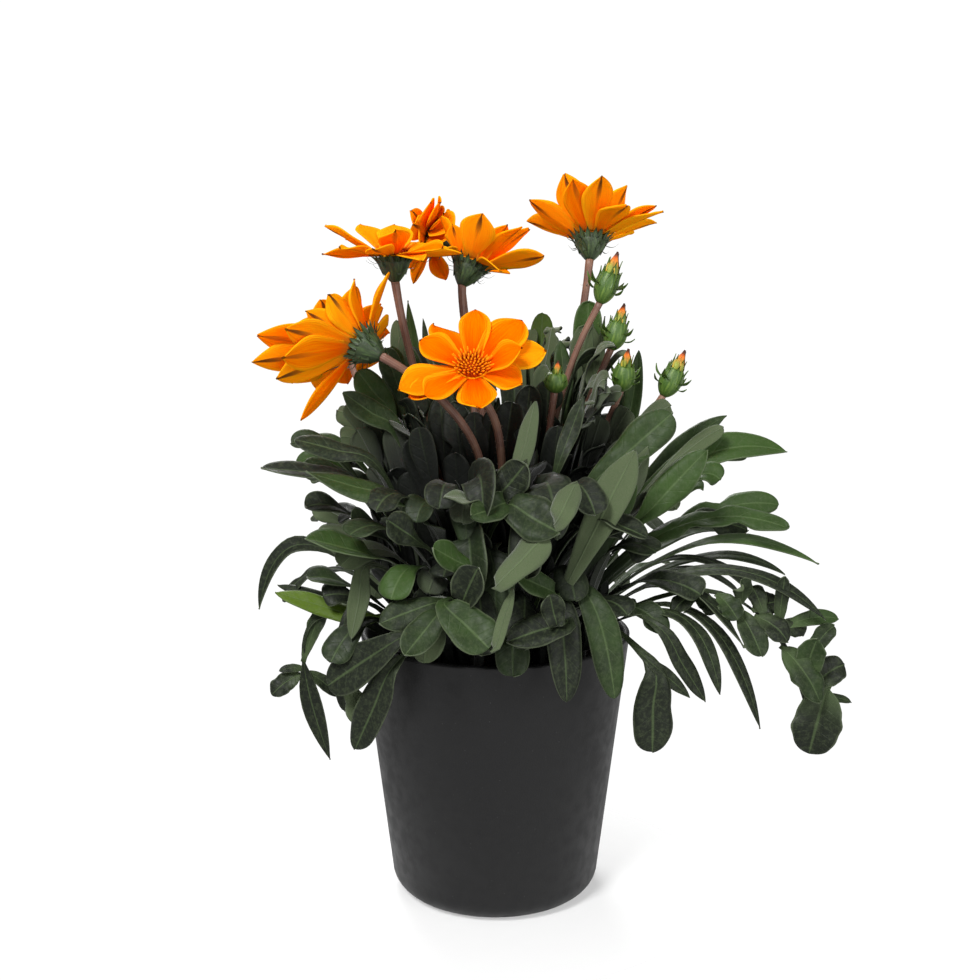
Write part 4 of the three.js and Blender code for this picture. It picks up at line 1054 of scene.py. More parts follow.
def bud_petal_material(look):
    """Rolled petals: yellow-green at the cup, orange above, with dark red-brown tips."""
    material, tree = new_material("rolled_petal", Roughness=0.5)
    across, from_middle, way = blade_coordinates(tree)
    base = layer_colours(
        tree, linear("#9aa238"),
        ((way, 0.42, 0.85), look.petal_colour),
        ((from_middle, 0.6, 1.0, 0.0, 0.5), linear("#f0b040")),
        ((from_middle, 0.3, 0.0, 0.0, 0.4), look.stripe_colour),
        ((way, 0.72, 0.92, 0.0, 0.95), look.tip_colour),
    )
    return finish_material(material, base, petal_lines(tree, across, way), 0.15 * MM, 0.6)


def pot_material(look):
    """Moulded anthracite plastic: matte, finely grained, with faint pale flecks."""
    material, tree = new_material("moulded_anthracite_plastic", Specular_IOR_Level=0.4)
    place = add_node(tree, "TexCoord", output="Object")
    cells = add_node(tree, "TexVoronoi", {"Vector": place, "Scale": 1 / (2.2 * MM)}, feature="F1")
    fleck = add_node(tree, "MapRange", (cells, 0.16, 0.05, 0.0, 0.4), **EASED)
    cloud = add_node(tree, "TexNoise", {"Vector": place, "Scale": 1 / (3 * MM), "Detail": 3.0})
    sparse = add_node(tree, "MapRange", (cloud, 0.5, 0.65), **EASED)
    share = add_node(tree, "Math", (fleck, sparse), operation="MULTIPLY")
    base = layer_colours(tree, look.pot_colour, (share, look.fleck_colour))
    patches = add_node(tree, "TexNoise", {"Vector": place, "Scale": 1 / (6 * MM), "Detail": 3.0})
    roughness = add_node(tree, "MapRange", (patches, 0.3, 0.7, 0.44, 0.56), **EASED)
    grain = add_node(tree, "TexNoise", {"Vector": place, "Scale": 1 / (0.7 * MM), "Detail": 2.0})
    return finish_material(material, base, grain, 0.08 * MM, 0.5, roughness)


def soil_material(look):
    """Damp potting mix: nearly black, with brown fibres, crumbly and dull."""
    material, tree = new_material("damp_potting_mix", Roughness=0.95)
    place = add_node(tree, "TexCoord", output="Object")
    fibres = add_node(tree, "TexNoise", {"Vector": place, "Scale": 1 / (2 * MM), "Detail": 5.0})
    crumbly = {"Vector": place, "Scale": 1 / (1.2 * MM), "Detail": 6.0, "Roughness": 0.7}
    crumbs = add_node(tree, "TexNoise", crumbly)
    base = layer_colours(
        tree, look.soil_colour,
        ((fibres, 0.45, 0.7, 0.0, 0.5), linear("#3a2a1c")),
    )
    return finish_material(material, base, crumbs, 1.0 * MM, 0.9)


# ------------------------------------------------------------------ pot and soil
def wall_radius(height):
    return mix(FOOT_RADIUS, RIM_RADIUS, height / POT_HEIGHT)


class GAZANIA_OT_pot(bpy.types.Operator):
    """Turn the tapered pot with its rounded foot and rim"""

    bl_idname = "gazania.pot"
    bl_label = "Pot"

    def execute(self, context):
        look = context.scene.gazania_pot
        centre = wall_radius(look.fillet) - look.fillet
        profile = [(0, 0)]
        for step in range(9):
            angle = math.pi / 2 * step / 8
            profile.append((centre + look.fillet * math.sin(angle), look.fillet * (1 - math.cos(angle))))
        for height in (30, 60, 90, POT_HEIGHT - look.lip):
            profile.append((wall_radius(height), height))
        lip_centre = RIM_RADIUS - look.wall / 2
        for step in range(1, 8):
            angle = math.pi * step / 8
            reach = look.wall / 2 * math.cos(angle)
            profile.append((lip_centre + reach, POT_HEIGHT - look.lip + look.lip * math.sin(angle)))
        for height in (POT_HEIGHT - look.lip, 90, 50, 10):
            profile.append((wall_radius(height) - look.wall, height))
        profile += [(wall_radius(POT_FLOOR) - look.wall - 6, POT_FLOOR), (0, POT_FLOOR)]
        bm = new_mesh()
        add_lathe(bm, profile, 128)
        finish_piece(bm, "pot_shell", "pot", [pot_material(look)])
        return {"FINISHED"}


class GAZANIA_OT_soil(bpy.types.Operator):
    """Fill the pot with crumbly potting mix"""

    bl_idname = "gazania.soil"
    bl_label = "Soil"

    def execute(self, context):
        look = context.scene.gazania_pot
        base = SOIL_LOW.z
        top = SOIL_HIGH.z - 1.2
        edge = SOIL_HIGH.x
        bm = new_mesh()
        profile = [(0, base), (wall_radius(base) - look.wall - 0.5, base), (edge, top)]
        profile += [(edge * (1 - ring / SOIL_RINGS), top) for ring in range(1, SOIL_RINGS + 1)]
        # Broad swells with small lumps on them.
        for vert in add_lathe(bm, profile, 96):
            if vert.co.z > top - 1:
                vert.co.z += 1.6 * noise.noise(vert.co * 0.22) + 0.8 * noise.noise(vert.co * 0.9)
        draw = random.Random(CRUMB_SEED)
        for _ in range(look.crumbs):
            self.add_crumb(bm, draw, edge - 3, top)
        finish_piece(bm, "potting_mix", "soil", [soil_material(look)])
        return {"FINISHED"}

    def add_crumb(self, bm, draw, reach, top):
        size = draw.uniform(0.5, 1.9)
        place = polar(draw.uniform(0, 360), reach * math.sqrt(draw.random()), top + draw.uniform(0, 0.9))
        turn = Matrix.Rotation(draw.uniform(0, math.tau), 4, Vector((draw.random(), draw.random(), 1)))
        stretch = Matrix.Diagonal((1, draw.uniform(0.5, 1), draw.uniform(0.4, 0.9), 1))
        bmesh.ops.create_icosphere(
            bm, subdivisions=1, radius=size, matrix=Matrix.Translation(place) @ turn @ stretch,
        )


# ------------------------------------------------------------------ leafy shoots
def leaf_root(row, index, count, middle):
    """Azimuth, radius and height of a leaf's root on the crown."""
    azimuth, reach = row[:2]
    shift = clamp((reach - ROOT_REACH) * ROOT_SHIFT, *ROOT_SHIFT_LIMITS)
    height = mix(ROOT_TOP, ROOT_FOOT, index / (count - 1))
    return mix(middle, azimuth, ROOT_TURN), CROWN_RING + shift, height


def leaf_path(row, root):
    """The midrib: the parabola through the root, the row's middle point and its tip."""
    tip_azimuth, middle_radius, middle_height, tip_radius, tip_height = row[:5]
    root_azimuth, root_radius, root_height = root
    bend_radius = 2 * middle_radius - (root_radius + tip_radius) / 2
    bend_height = 2 * middle_height - (root_height + tip_height) / 2

    def at(t):
        azimuth = mix(root_azimuth, tip_azimuth, math.sin(t * math.pi / 2))
        radius = mix(mix(root_radius, bend_radius, t), mix(bend_radius, tip_radius, t), t)
        height = mix(mix(root_height, bend_height, t), mix(bend_height, tip_height, t), t)
        return polar(azimuth, radius, height)

    return at


def blade_frame(path, t, roll, face=None):
    """Centre, side and normal of a path at t. The normal looks toward face, or else up, and rolls."""
    centre = path(t)
    tangent = heading(path, t)
    if face is None:
        around = Vector((-centre.y, centre.x, 0)).normalized()
        side = (around - tangent * around.dot(tangent)).normalized()
    else:
        side = face.cross(tangent).normalized()
    side = turn_toward(side, tangent.cross(side), math.radians(roll))
    return centre, side, tangent.cross(side)


def blade_share(form, t):
    """The blade's share of its full width at t, with no blade before its start."""
    start, rise, fall = form["start"], form["rise"], form["fall"]
    if t <= start:
        return 0.0
    way = (t - start) / (1 - start)
    widest = rise / (rise + fall)
    peak = widest ** rise * (1 - widest) ** fall
    return way ** rise * (1 - way) ** fall / peak


def notch_factor(form, t, notches):
    """A lobed leaf's edge draws in at each notch."""
    if form != LOBED:
        return 1
    deepest = max(math.exp(-((t - notch) / NOTCH_SPREAD) ** 2) for notch in notches)
    return 1 - NOTCH_DEPTH * deepest


class Leaf:
    """One blade along a path: where its rows lie, how wide they are, and how they fold and wave."""

    def __init__(self, path, width, roll, form, draw, wave, face=None):
        self.path, self.width, self.form, self.face = path, width, form, face
        self.roll = roll + draw.uniform(-20, 20)
        self.fold = draw.uniform(0.0, 0.42)
        self.curl = draw.uniform(0.0, 0.3)
        self.nod = draw.uniform(-0.1, 0.3)
        self.waves = draw.uniform(1.6, 3.6)
        self.phase = draw.uniform(0, math.tau)
        self.lag = draw.uniform(0.6, 2.4)
        self.wave = wave * draw.uniform(0.2, 1.0) * min(1, self.width / 12)
        rise, fall = draw.uniform(0.75, 1.4), draw.uniform(0.85, 1.25)
        shape = LEAF_FORMS[form]
        self.shape = {"start": shape["start"], "rise": shape["rise"] * rise, "fall": shape["fall"] * fall}
        self.tone = draw.random() ** 2.2
        self.along = LOBED_STEPS if form == LOBED else LEAF_STEPS
        self.outer_hand = 1 if face is not None else self.face_outward()
        self.hand = self.outer_hand
        if face is None and draw.random() >= OUTWARD_SHARE:
            self.hand = -self.outer_hand
        self.unevenness = EDGE_UNEVENNESS * min(1, self.width / 9)
        self.shelter = SHELTER

    def face_outward(self):
        """1 where the upper face already looks up or out, or -1 where the blade has to turn over."""
        centre, _, normal = blade_frame(self.path, 0.75, self.roll * 0.75)
        outward = Vector((centre.x, centre.y, 0)).normalized() + Vector((0, 0, 1))
        return -1 if normal.dot(outward) < 0 else 1

    def edge(self, half, t, notches, phase):
        """How far the edge stands out on one side, a little unevenly."""
        bumps = math.sin(17 * t + phase) + 0.6 * math.sin(31 * t + 2.3 * phase)
        return half * notch_factor(self.form, t, notches) * (1 + self.unevenness * bumps)

    def row_frame(self, step):
        """Where a row of the mesh lies, and how far it reaches. The rows crowd together at the tip."""
        way = step / self.along
        t = 1 - (1 - way) ** (1.4 if self.form == LOBED else 1.7)
        centre, side, normal = blade_frame(self.path, t, self.roll * t, self.face)
        petiole = PETIOLE_WIDTH * mix(1, PETIOLE_TAPER, t) * (1 - t ** 14)
        half = (petiole + (self.width - petiole) * blade_share(self.shape, t)) / 2
        left = self.edge(half, t, LEFT_NOTCHES, self.phase)
        right = self.edge(half, t, RIGHT_NOTCHES, self.phase + self.lag)
        return t, centre, side * self.hand, normal * self.hand, left, right

    def lift(self, t, across, half):
        """How far a point stands above the flat blade, which folds, curls, waves and nods."""
        out = abs(across)
        bend = self.fold * half * out ** 1.2 - self.curl * half * out ** 4
        lagged = self.phase + (self.lag if across > 0 else 0)
        ripple = self.wave * math.sin(math.tau * self.waves * t + lagged) * out ** 2
        nod = self.nod * self.width * max(0, t - 0.6) ** 2 * 4
        return bend + ripple * smooth_step(0.25, 0.6, t) - nod

    def add_to(self, bm):
        rows = [self.row_frame(step) for step in range(self.along + 1)]

        def place(across, way):
            t, centre, side, normal, left, right = rows[round(way * self.along)]
            reach = right if across * self.hand < 0 else left
            return centre - side * (across * reach) + normal * self.lift(t, across, reach)

        inside = bm.verts.layers.float["inside"]
        for vert in add_grid(bm, LEAF_COLUMNS, self.along, place, self.tone):
            # Painted shade for the dark inside of the plant, scaled by how sheltered the leaf is.
            vert[inside] = self.shelter * painted_shade_depth(vert.co)


def painted_shade_depth(point):
    """How deep a point lies inside the plant, which sets the painted shade that darkens its leaf almost to
    black.
    """
    back = smooth_step(BACK_START, BACK_END, point.y)
    reach = math.hypot(point.x, point.y) + BACK_REACH * back
    level = smooth_step(-OUTER_RADIUS, -INNER_RADIUS, -reach)
    return level * smooth_step(-OUTER_HEIGHT, -INNER_HEIGHT, -point.z) * (1 - BACK_LIGHT * back)


def laid_path(start, tip, middle, form):
    """A lobe arches out from its rib. Any other blade comes on a stalk from the shoot's crown."""
    start, tip = seen_at(*start), seen_at(*tip)
    if form in (LOBE, SLIM_LOBE):
        arch = Vector((0, 0, LOBE_ARCH * (tip - start).length))
        return lambda t: start.lerp(tip, t) + arch * (t - t * t)
    crown = polar(middle, CROWN_RING, CROWN_TOP - LAID_ROOT_DEPTH)
    half_way = crown.lerp(start, 0.5) + Vector((0, 0, STALK_ARCH * (start - crown).length))
    return catmull_rom((crown, half_way, start, start.lerp(tip, 0.5), tip))


def add_laid_leaves(bm, sector, middle, wave):
    draw = random.Random(LAID_SEED + sector)
    for start, tip, width, face, tone, form in LAID_LEAVES.get(sector, ()):
        leaf = Leaf(laid_path(start, tip, middle, form), width, 0, form, draw, wave, face)
        leaf.roll *= LAID_ROLL
        leaf.tone = tone
        # Laid leaves take little painted shade, but for dark ones at the back that close the view.
        screen = start[2] > SCREEN_DEPTH and 0 <= tone < DARK_TONE
        leaf.shelter = SHELTER if screen else LAID_SHELTER
        if tone < 0:
            leaf.hand = -leaf.hand
        leaf.add_to(bm)


def side_leaf_rows(rows, draw):
    """Smaller leaves that grow close beside a shoot's own, so that it closes up."""
    beside = []
    for azimuth, middle_radius, middle_height, tip_radius, tip_height, width, roll, form in rows:
        if form == TRAILING or tip_height < HANGING_HEIGHT:
            continue
        size = draw.uniform(0.72, 0.96)
        turn = draw.choice((-1, 1)) * draw.uniform(3, 9)
        fall = draw.uniform(2, 16)
        beside.append((
            azimuth + turn, CROWN_RING + (middle_radius - CROWN_RING) * size, middle_height - fall * 0.6,
            CROWN_RING + (tip_radius - CROWN_RING) * size, max(LOWEST_SIDE_TIP, tip_height - fall),
            width * draw.uniform(0.75, 1.0), roll + draw.uniform(-30, 30),
            draw.choice((form, ROUND, LANCE, LOBED)),
        ))
    return beside


def inner_leaf_rows(count, middle, tallest, draw):
    """Leaves that fill a shoot from inside, drawn by a rule, the tallest first."""
    rows = []
    for index in range(count):
        azimuth = middle + draw.uniform(-21, 21)
        height = mix(tallest, HANGING_HEIGHT, (index / count) ** 1.3) + draw.uniform(-6, 6)
        middle_radius = draw.uniform(30, 45)
        tip_radius = middle_radius + draw.uniform(3, 18)
        width = draw.uniform(8, 14)
        roll = draw.uniform(-50, 50)
        form = draw.choice((ROUND, ROUND, LOBED, LANCE))
        rows.append((azimuth, middle_radius, height - 22, tip_radius, height, width, roll, form))
    return rows


def stalk_rows(count, middle, tallest, draw):
    """Young leaves that stand straight out of the soil: (row, root) pairs."""
    stalks = []
    for _ in range(count):
        azimuth = middle + draw.uniform(-22, 22)
        radius = draw.uniform(12, 47)
        height = draw.uniform(LOWEST_STALK_TIP, tallest)
        row = (
            azimuth + draw.uniform(-8, 8), radius + 3, mix(SOIL_HIGH.z, height, 0.55),
            radius + draw.uniform(4, 14), height, draw.uniform(5, 10), draw.uniform(-40, 40), LANCE,
        )
        stalks.append((row, (azimuth, radius, SOIL_HIGH.z - 3)))
    return stalks


class GAZANIA_OT_shoots(bpy.types.Operator):
    """Grow the eight leafy shoots"""

    bl_idname = "gazania.shoots"
    bl_label = "Leafy shoots"

    def execute(self, context):
        look = context.scene.gazania_leaves
        materials = [leaf_upper_material(look), leaf_under_material(look)]
        for sector, rows in enumerate(LEAF_ROWS):
            self.grow(sector, rows, look, materials)
        return {"FINISHED"}

    def grow(self, sector, rows, look, materials):
        middle = SECTOR * (sector + 0.5)
        draw = random.Random(SHOOT_SEED + sector)
        bm = new_mesh()
        for index, row in enumerate(rows):
            width, roll, form = row[5:]
            face, form, fullness = FACED_LEAVES.get((sector, index), (None, form, 1))
            path = leaf_path(row, leaf_root(row, index, len(rows), middle))
            leaf = Leaf(path, width * fullness, roll if face is None else 0, form, draw, look.wave, face)
            leaf.tone = LEAF_FRESHNESS.get((sector, index), leaf.tone + SHOOT_FRESHNESS[sector])
            if (sector, index) in TURNED_LEAVES:
                leaf.hand = -leaf.outer_hand
            if (sector, index) not in LAID_ROWS:
                leaf.add_to(bm)
        add_laid_leaves(bm, sector, middle, look.wave)
        inner = inner_leaf_rows(look.inner_leaves, middle, INNER_TALLEST[sector], draw)
        for filling, shade in ((side_leaf_rows(rows, draw), SIDE_SHADE), (inner, INNER_SHADE)):
            for index, row in enumerate(filling):
                path = leaf_path(row, leaf_root(row, index, len(filling), middle))
                leaf = Leaf(path, *row[5:], draw, look.wave)
                # Painted shade: a smaller leaf keeps only part of its tone.
                leaf.tone = (leaf.tone + SHOOT_FRESHNESS[sector]) * shade
                leaf.add_to(bm)
        for row, root in stalk_rows(look.stalks, middle, STALK_TALLEST[sector], draw):
            leaf = Leaf(leaf_path(row, root), *row[5:], draw, look.wave)
            # Painted shade: a stalk leaf keeps only part of its tone.
            leaf.tone *= STALK_SHADE
            leaf.add_to(bm)
        self.add_crown(bm, middle)
        name = f"shoot_{sector + 1}_leaves"
        finish_piece(bm, name, f"leafy_shoot_{sector + 1}", materials, look.thickness)

    def add_crown(self, bm, middle):
        """The short stem that the leaves spring from."""
        foot = polar(middle, CROWN_RING, SOIL_HIGH.z - 6)
        top = polar(middle, CROWN_RING, CROWN_TOP)
        thickness = lambda t: mix(CROWN_FOOT_RADIUS, CROWN_TOP_RADIUS, t)
        add_tube(bm, lambda t: foot.lerp(top, t), thickness, 12, 8, 0.3)


# ------------------------------------------------------------------ stems
def catmull_rom(points):
    """A smooth curve through the points, as a function of t from 0 to 1."""
    points = [Vector(point) for point in points]
    ends = [points[0] * 2 - points[1], *points, points[-1] * 2 - points[-2]]
    spans = len(points) - 1

    def at(t):
        index = min(int(t * spans), spans - 1)
        s = t * spans - index
        a, b, c, d = ends[index:index + 4]
        return (
            b * 2 + (c - a) * s + (a * 2 - b * 5 + c * 4 - d) * s * s
            + (b * 3 - a - c * 3 + d) * s ** 3
        ) / 2

    return at


def evenly(curve, count):
    """Points along a curve, the same distance apart."""
    fine = [curve(step / 400) for step in range(401)]
    far = [0.0]
    for start, end in zip(fine, fine[1:]):
        far.append(far[-1] + (end - start).length)
    points, index = [], 0
    for step in range(count + 1):
        goal = far[-1] * step / count
        while index < 399 and far[index + 1] < goal:
            index += 1
        share = clamp((goal - far[index]) / max(1e-9, far[index + 1] - far[index]), 0, 1)
        points.append(fine[index].lerp(fine[index + 1], share))
    return points


def stem_curve(stem, axis):
    """The stem's middle line: through its points and up into the cup, with its bends eased."""
    top = Vector(stem[-1]) + axis * STEM_GRIP
    points = evenly(catmull_rom([*stem[:-1], top - axis * NECK, top]), STEM_SAMPLES)
    for _ in range(STEM_SMOOTHINGS):
        trios = zip(points, points[1:], points[2:])
        points[1:-1] = [(before + point * 2 + after) / 4 for before, point, after in trios]

    def at(t):
        place = clamp(t, 0, 1) * STEM_SAMPLES
        index = min(int(place), STEM_SAMPLES - 1)
        return points[index].lerp(points[index + 1], place - index)

    return at


def add_hairs(bm, curve, radius, length, count, draw, material):
    """Short hairs that stand out from a stem and lean up it a little."""
    for _ in range(count):
        t = draw.uniform(0.25, 0.99)
        centre = curve(t)
        tangent = heading(curve, t)
        out = tangent.orthogonal().normalized()
        out.rotate(Matrix.Rotation(draw.uniform(0, math.tau), 3, tangent))
        way = (out + tangent * draw.uniform(0.1, 0.6)).normalized()
        reach = length * draw.uniform(0.6, 1.2)
        middle = centre + out * (radius * 0.9) + way * (reach / 2)
        matrix = Matrix.Translation(middle) @ way.to_track_quat("Z", "Y").to_matrix().to_4x4()
        hair = bmesh.ops.create_cone(
            bm, cap_ends=False, segments=3, radius1=HAIR_ROOT_RADIUS, radius2=HAIR_TIP_RADIUS,
            depth=reach, matrix=matrix,
        )
        paint(hair["verts"], material)


def add_dry_bracts(bm, curve, radius, draw):
    """Four small dried bracts that curl away from the stem just below its head."""
    place = curve(DRY_BRACT_PLACE)
    axis = (curve(DRY_BRACT_PLACE + 0.01) - place).normalized()
    matrix = head_matrix(place, axis)
    for index in range(4):
        azimuth = 90 * index + draw.uniform(-20, 20)
        tip = (radius + draw.uniform(1.6, 3.0), draw.uniform(-1.5, 2.5))
        add_bract(bm, matrix, azimuth, (radius - 0.2, 0), tip, 1.3, -0.5, 0.0, 1)


class GAZANIA_OT_stems(bpy.types.Operator):
    """Raise the stems of the blooms and the buds"""

    bl_idname = "gazania.stems"
    bl_label = "Stems"

    def execute(self, context):
        look = context.scene.gazania_blooms
        materials = [stem_material(look), hair_material()]
        for kind, heads, radius in (
            ("bloom", BLOOMS, look.stem_radius), ("bud", BUDS, look.bud_stem_radius),
        ):
            for number, head in enumerate(heads, 1):
                self.raise_stem(f"{kind}_{number}", head, radius, look, materials)
        return {"FINISHED"}

    def raise_stem(self, name, head, radius, look, materials):
        curve = stem_curve(head["stem"], Vector(head["axis"]).normalized())
        draw = random.Random(name)
        bm = new_mesh()
        thickness = lambda t: radius * (1 + 0.12 * smooth_step(0.94, 1, t))
        add_tube(bm, curve, thickness, STEM_SIDES, STEM_SAMPLES)
        add_hairs(bm, curve, radius, look.hair_length, STEM_HAIRS, draw, 1)
        if name == DRY_BRACT_STEM:
            add_dry_bracts(bm, curve, radius, draw)
        finish_piece(bm, f"{name}_stalk", f"{name}_stem", materials)


# ------------------------------------------------------------------ heads
def head_matrix(place, axis):
    """The head's own frame: +Z along its axis, +X level as far as it can be."""
    forward = Vector((0, 1, 0)).cross(axis).normalized()
    upward = axis.cross(forward)
    turn = Matrix((forward, upward, axis)).transposed().to_4x4()
    return Matrix.Translation(place) @ turn


def head_frame(head):
    """The frame of a bloom or bud, at the top of its stem."""
    return head_matrix(Vector(head["stem"][-1]), Vector(head["axis"]).normalized())


def add_bract(bm, matrix, azimuth, root, tip, width, bow, tone, material=0):
    """A narrow pointed bract from root to tip, both (radius, height), bowed outward."""
    out = polar(azimuth, 1)
    aside = polar(azimuth + 90, 1)
    start = out * root[0] + Vector((0, 0, root[1]))
    end = out * tip[0] + Vector((0, 0, tip[1]))
    along = end - start
    normal = aside.cross(along).normalized()

    def place(across, way):
        half = width / 2 * (1 - way ** 1.6) * (0.75 + 0.9 * way * (1 - way))
        bend = bow * math.sin(math.pi * way) - 0.12 * width * abs(across) ** 2
        return matrix @ (start + along * way + aside * (across * half) + normal * -bend)

    add_grid(bm, 4, 7, place, tone, material)


def petal_rise(bloom, azimuth):
    """How steeply the petals stand on one side of a head, in degrees above its own plane."""
    lean, lean_azimuth = bloom["lean"]
    return bloom["cup"] + lean * math.cos(math.radians(azimuth - lean_azimuth))


def petal_half_width(share, blunt):
    """Half of a petal's width as a share of its full width, at a share of its length."""
    grow = mix(0.45 if blunt else 0.25, 1, smooth_step(-0.05, PETAL_CREST * 1.05, share) ** 0.85)
    if share <= PETAL_CREST:
        return grow / 2
    past = (share - PETAL_CREST) / (1 - PETAL_CREST)
    return (1 - past ** (2.5 if blunt else 2.0)) / 2


def seen_petal(matrix, tip):
    """Azimuth, reach, rise and width of a petal whose tip the camera sees there."""
    right, down, lift, width = tip
    inward = matrix.inverted()
    eye = inward @ CAMERA_EYE
    way = inward.to_3x3() @ sight_line(right, down)
    end = eye + way * ((PETAL_HEIGHT + lift - eye.z) / way.z)
    out = math.hypot(end.x, end.y) - PETAL_ROOT
    azimuth = math.degrees(math.atan2(end.y, end.x))
    return azimuth, math.hypot(out, lift), math.degrees(math.atan2(lift, out)), width


def add_petal(bm, matrix, bloom, petal, draw):
    """A petal with its own bend, twist, cupping and ruffled edge, and a shallow groove along it."""
    azimuth, reach, rise, width = petal
    out = polar(azimuth, 1)
    aside = polar(azimuth + 90, 1)
    slope = math.radians(rise)
    tangent = out * math.cos(slope) + Vector((0, 0, math.sin(slope)))
    normal = tangent.cross(aside)
    side = turn_toward(aside, normal, math.radians(PETAL_ROLL + draw.uniform(-4, 4)))
    up = tangent.cross(side)
    root = out * PETAL_ROOT + Vector((0, 0, PETAL_HEIGHT))
    tip_bend = draw.uniform(-2.4, 1.8)
    twist = math.radians(draw.uniform(-22, 22))
    cupping = draw.uniform(0.08, 0.34)
    ruffle, phase = draw.uniform(0.2, 0.8), draw.uniform(0, math.tau)

    def place(across, way):
        share = 1 - (1 - way) ** 1.25
        half = width * petal_half_width(share, bloom["blunt"])
        centre = root + tangent * (share * reach) + up * (tip_bend * share ** 3)
        centre.z -= bloom["droop"] * share * share
        turned = turn_toward(side, up, twist * share)
        groove = 0.28 * math.exp(-(across / 0.16) ** 2) - 0.16 * math.exp(-((abs(across) - 0.5) / 0.2) ** 2)
        lift = cupping * half * across * across - groove * math.sin(math.pi * share)
        lift += ruffle * math.sin(9 * share + phase + 2 * across) * abs(across) * share
        return matrix @ (centre - turned * (across * half) + up * lift)

    # Tone picks the yellower edge and the back stripes. ripe raises it, in part as painted light on the upper
    # blooms.
    add_grid(bm, PETAL_COLUMNS, PETAL_STEPS, place, draw.random() + bloom["ripe_and_lit"])


class GAZANIA_OT_cups(bpy.types.Operator):
    """Set the green cup and its pointed bracts under each bloom"""

    bl_idname = "gazania.cups"
    bl_label = "Cups and bracts"

    def execute(self, context):
        look = context.scene.gazania_blooms
        material = cup_material(look, "bloom_cup_skin", look.cup_colour, linear("#5c7640"), linear("#1c2a16"))
        for number, bloom in enumerate(BLOOMS, 1):
            self.set_cup(f"bloom_{number}", bloom, number, material)
        return {"FINISHED"}

    def set_cup(self, name, bloom, number, material):
        matrix = head_frame(bloom)
        draw = random.Random(CUP_SEED + number)
        bm = new_mesh()
        add_tube(
            bm, lambda t: matrix @ Vector((0, 0, CUP_HEIGHT * t)),
            lambda t: 1.9 + 5.4 * (1 - (1 - t) ** 1.9), 40, 14, 0.0,
        )
        for root, tip, width, count, start, bow in (
            ((4.6, 3.0), (7.4, 8.0), 2.6, 6, 0.0, 0.2),
            ((6.2, 5.8), (10.4, 7.4), 0.9, 5, 22.5, -1.0),
            ((7.0, 8.2), (12.6, 10.4), 0.9, 8, 10.0, -1.2),
        ):
            for index in range(count):
                azimuth = start + 360 * index / count + draw.uniform(-9, 9)
                reach = (tip[0] + draw.uniform(-1.2, 0.8), tip[1] + draw.uniform(-0.9, 0.9))
                bend = bow + draw.uniform(-0.3, 0.3)
                add_bract(bm, matrix, azimuth, root, reach, width, bend, draw.uniform(0.2, 0.9))
        for index in range(CUP_TEETH):
            azimuth = 360 * index / CUP_TEETH + draw.uniform(-5, 5)
            slope = math.radians(petal_rise(bloom, azimuth))
            out = draw.uniform(2.6, 5.2)
            reach = (PETAL_ROOT + 1 + out * math.cos(slope), PETAL_HEIGHT - 1.2 + out * math.sin(slope))
            add_bract(bm, matrix, azimuth, TOOTH_ROOT, reach, 2.8, 0.4, draw.uniform(0.1, 0.6))
        finish_piece(bm, f"{name}_cup", f"{name}_involucre", [material])


class GAZANIA_OT_petals(bpy.types.Operator):
    """Open the ring of petals of each bloom"""

    bl_idname = "gazania.petals"
    bl_label = "Petals"

    def execute(self, context):
        look = context.scene.gazania_blooms
        materials = [petal_face_material(look), petal_back_material(look)]
        for number, bloom in enumerate(BLOOMS, 1):
            self.open_ring(f"bloom_{number}", bloom, number, look, materials)
        return {"FINISHED"}

    def open_ring(self, name, bloom, number, look, materials):
        matrix = head_frame(bloom)
        draw = random.Random(PETAL_SEED + number)
        bm = new_mesh()
        petals = [seen_petal(matrix, tip) for tip in bloom["tips"]]
        for azimuth in bloom["others"]:
            azimuth += draw.uniform(-2, 2)
            stretch, stretch_azimuth = bloom["stretch"]
            reach = bloom["length"] * draw.uniform(0.9, 1.05)
            reach *= 1 + stretch * math.cos(math.radians(azimuth - stretch_azimuth))
            rise = petal_rise(bloom, azimuth) + draw.uniform(-1, 1) * bloom["uneven"]
            width = bloom["width"] * PETAL_FULLNESS * draw.uniform(0.92, 1.08)
            petals.append((azimuth, reach, rise, width))
        for petal in petals:
            add_petal(bm, matrix, bloom, petal, draw)
        add_lathe(bm, PETAL_SEAT, 32, matrix)
        finish_piece(bm, f"{name}_petal_ring", f"{name}_petals", materials, look.petal_thickness)


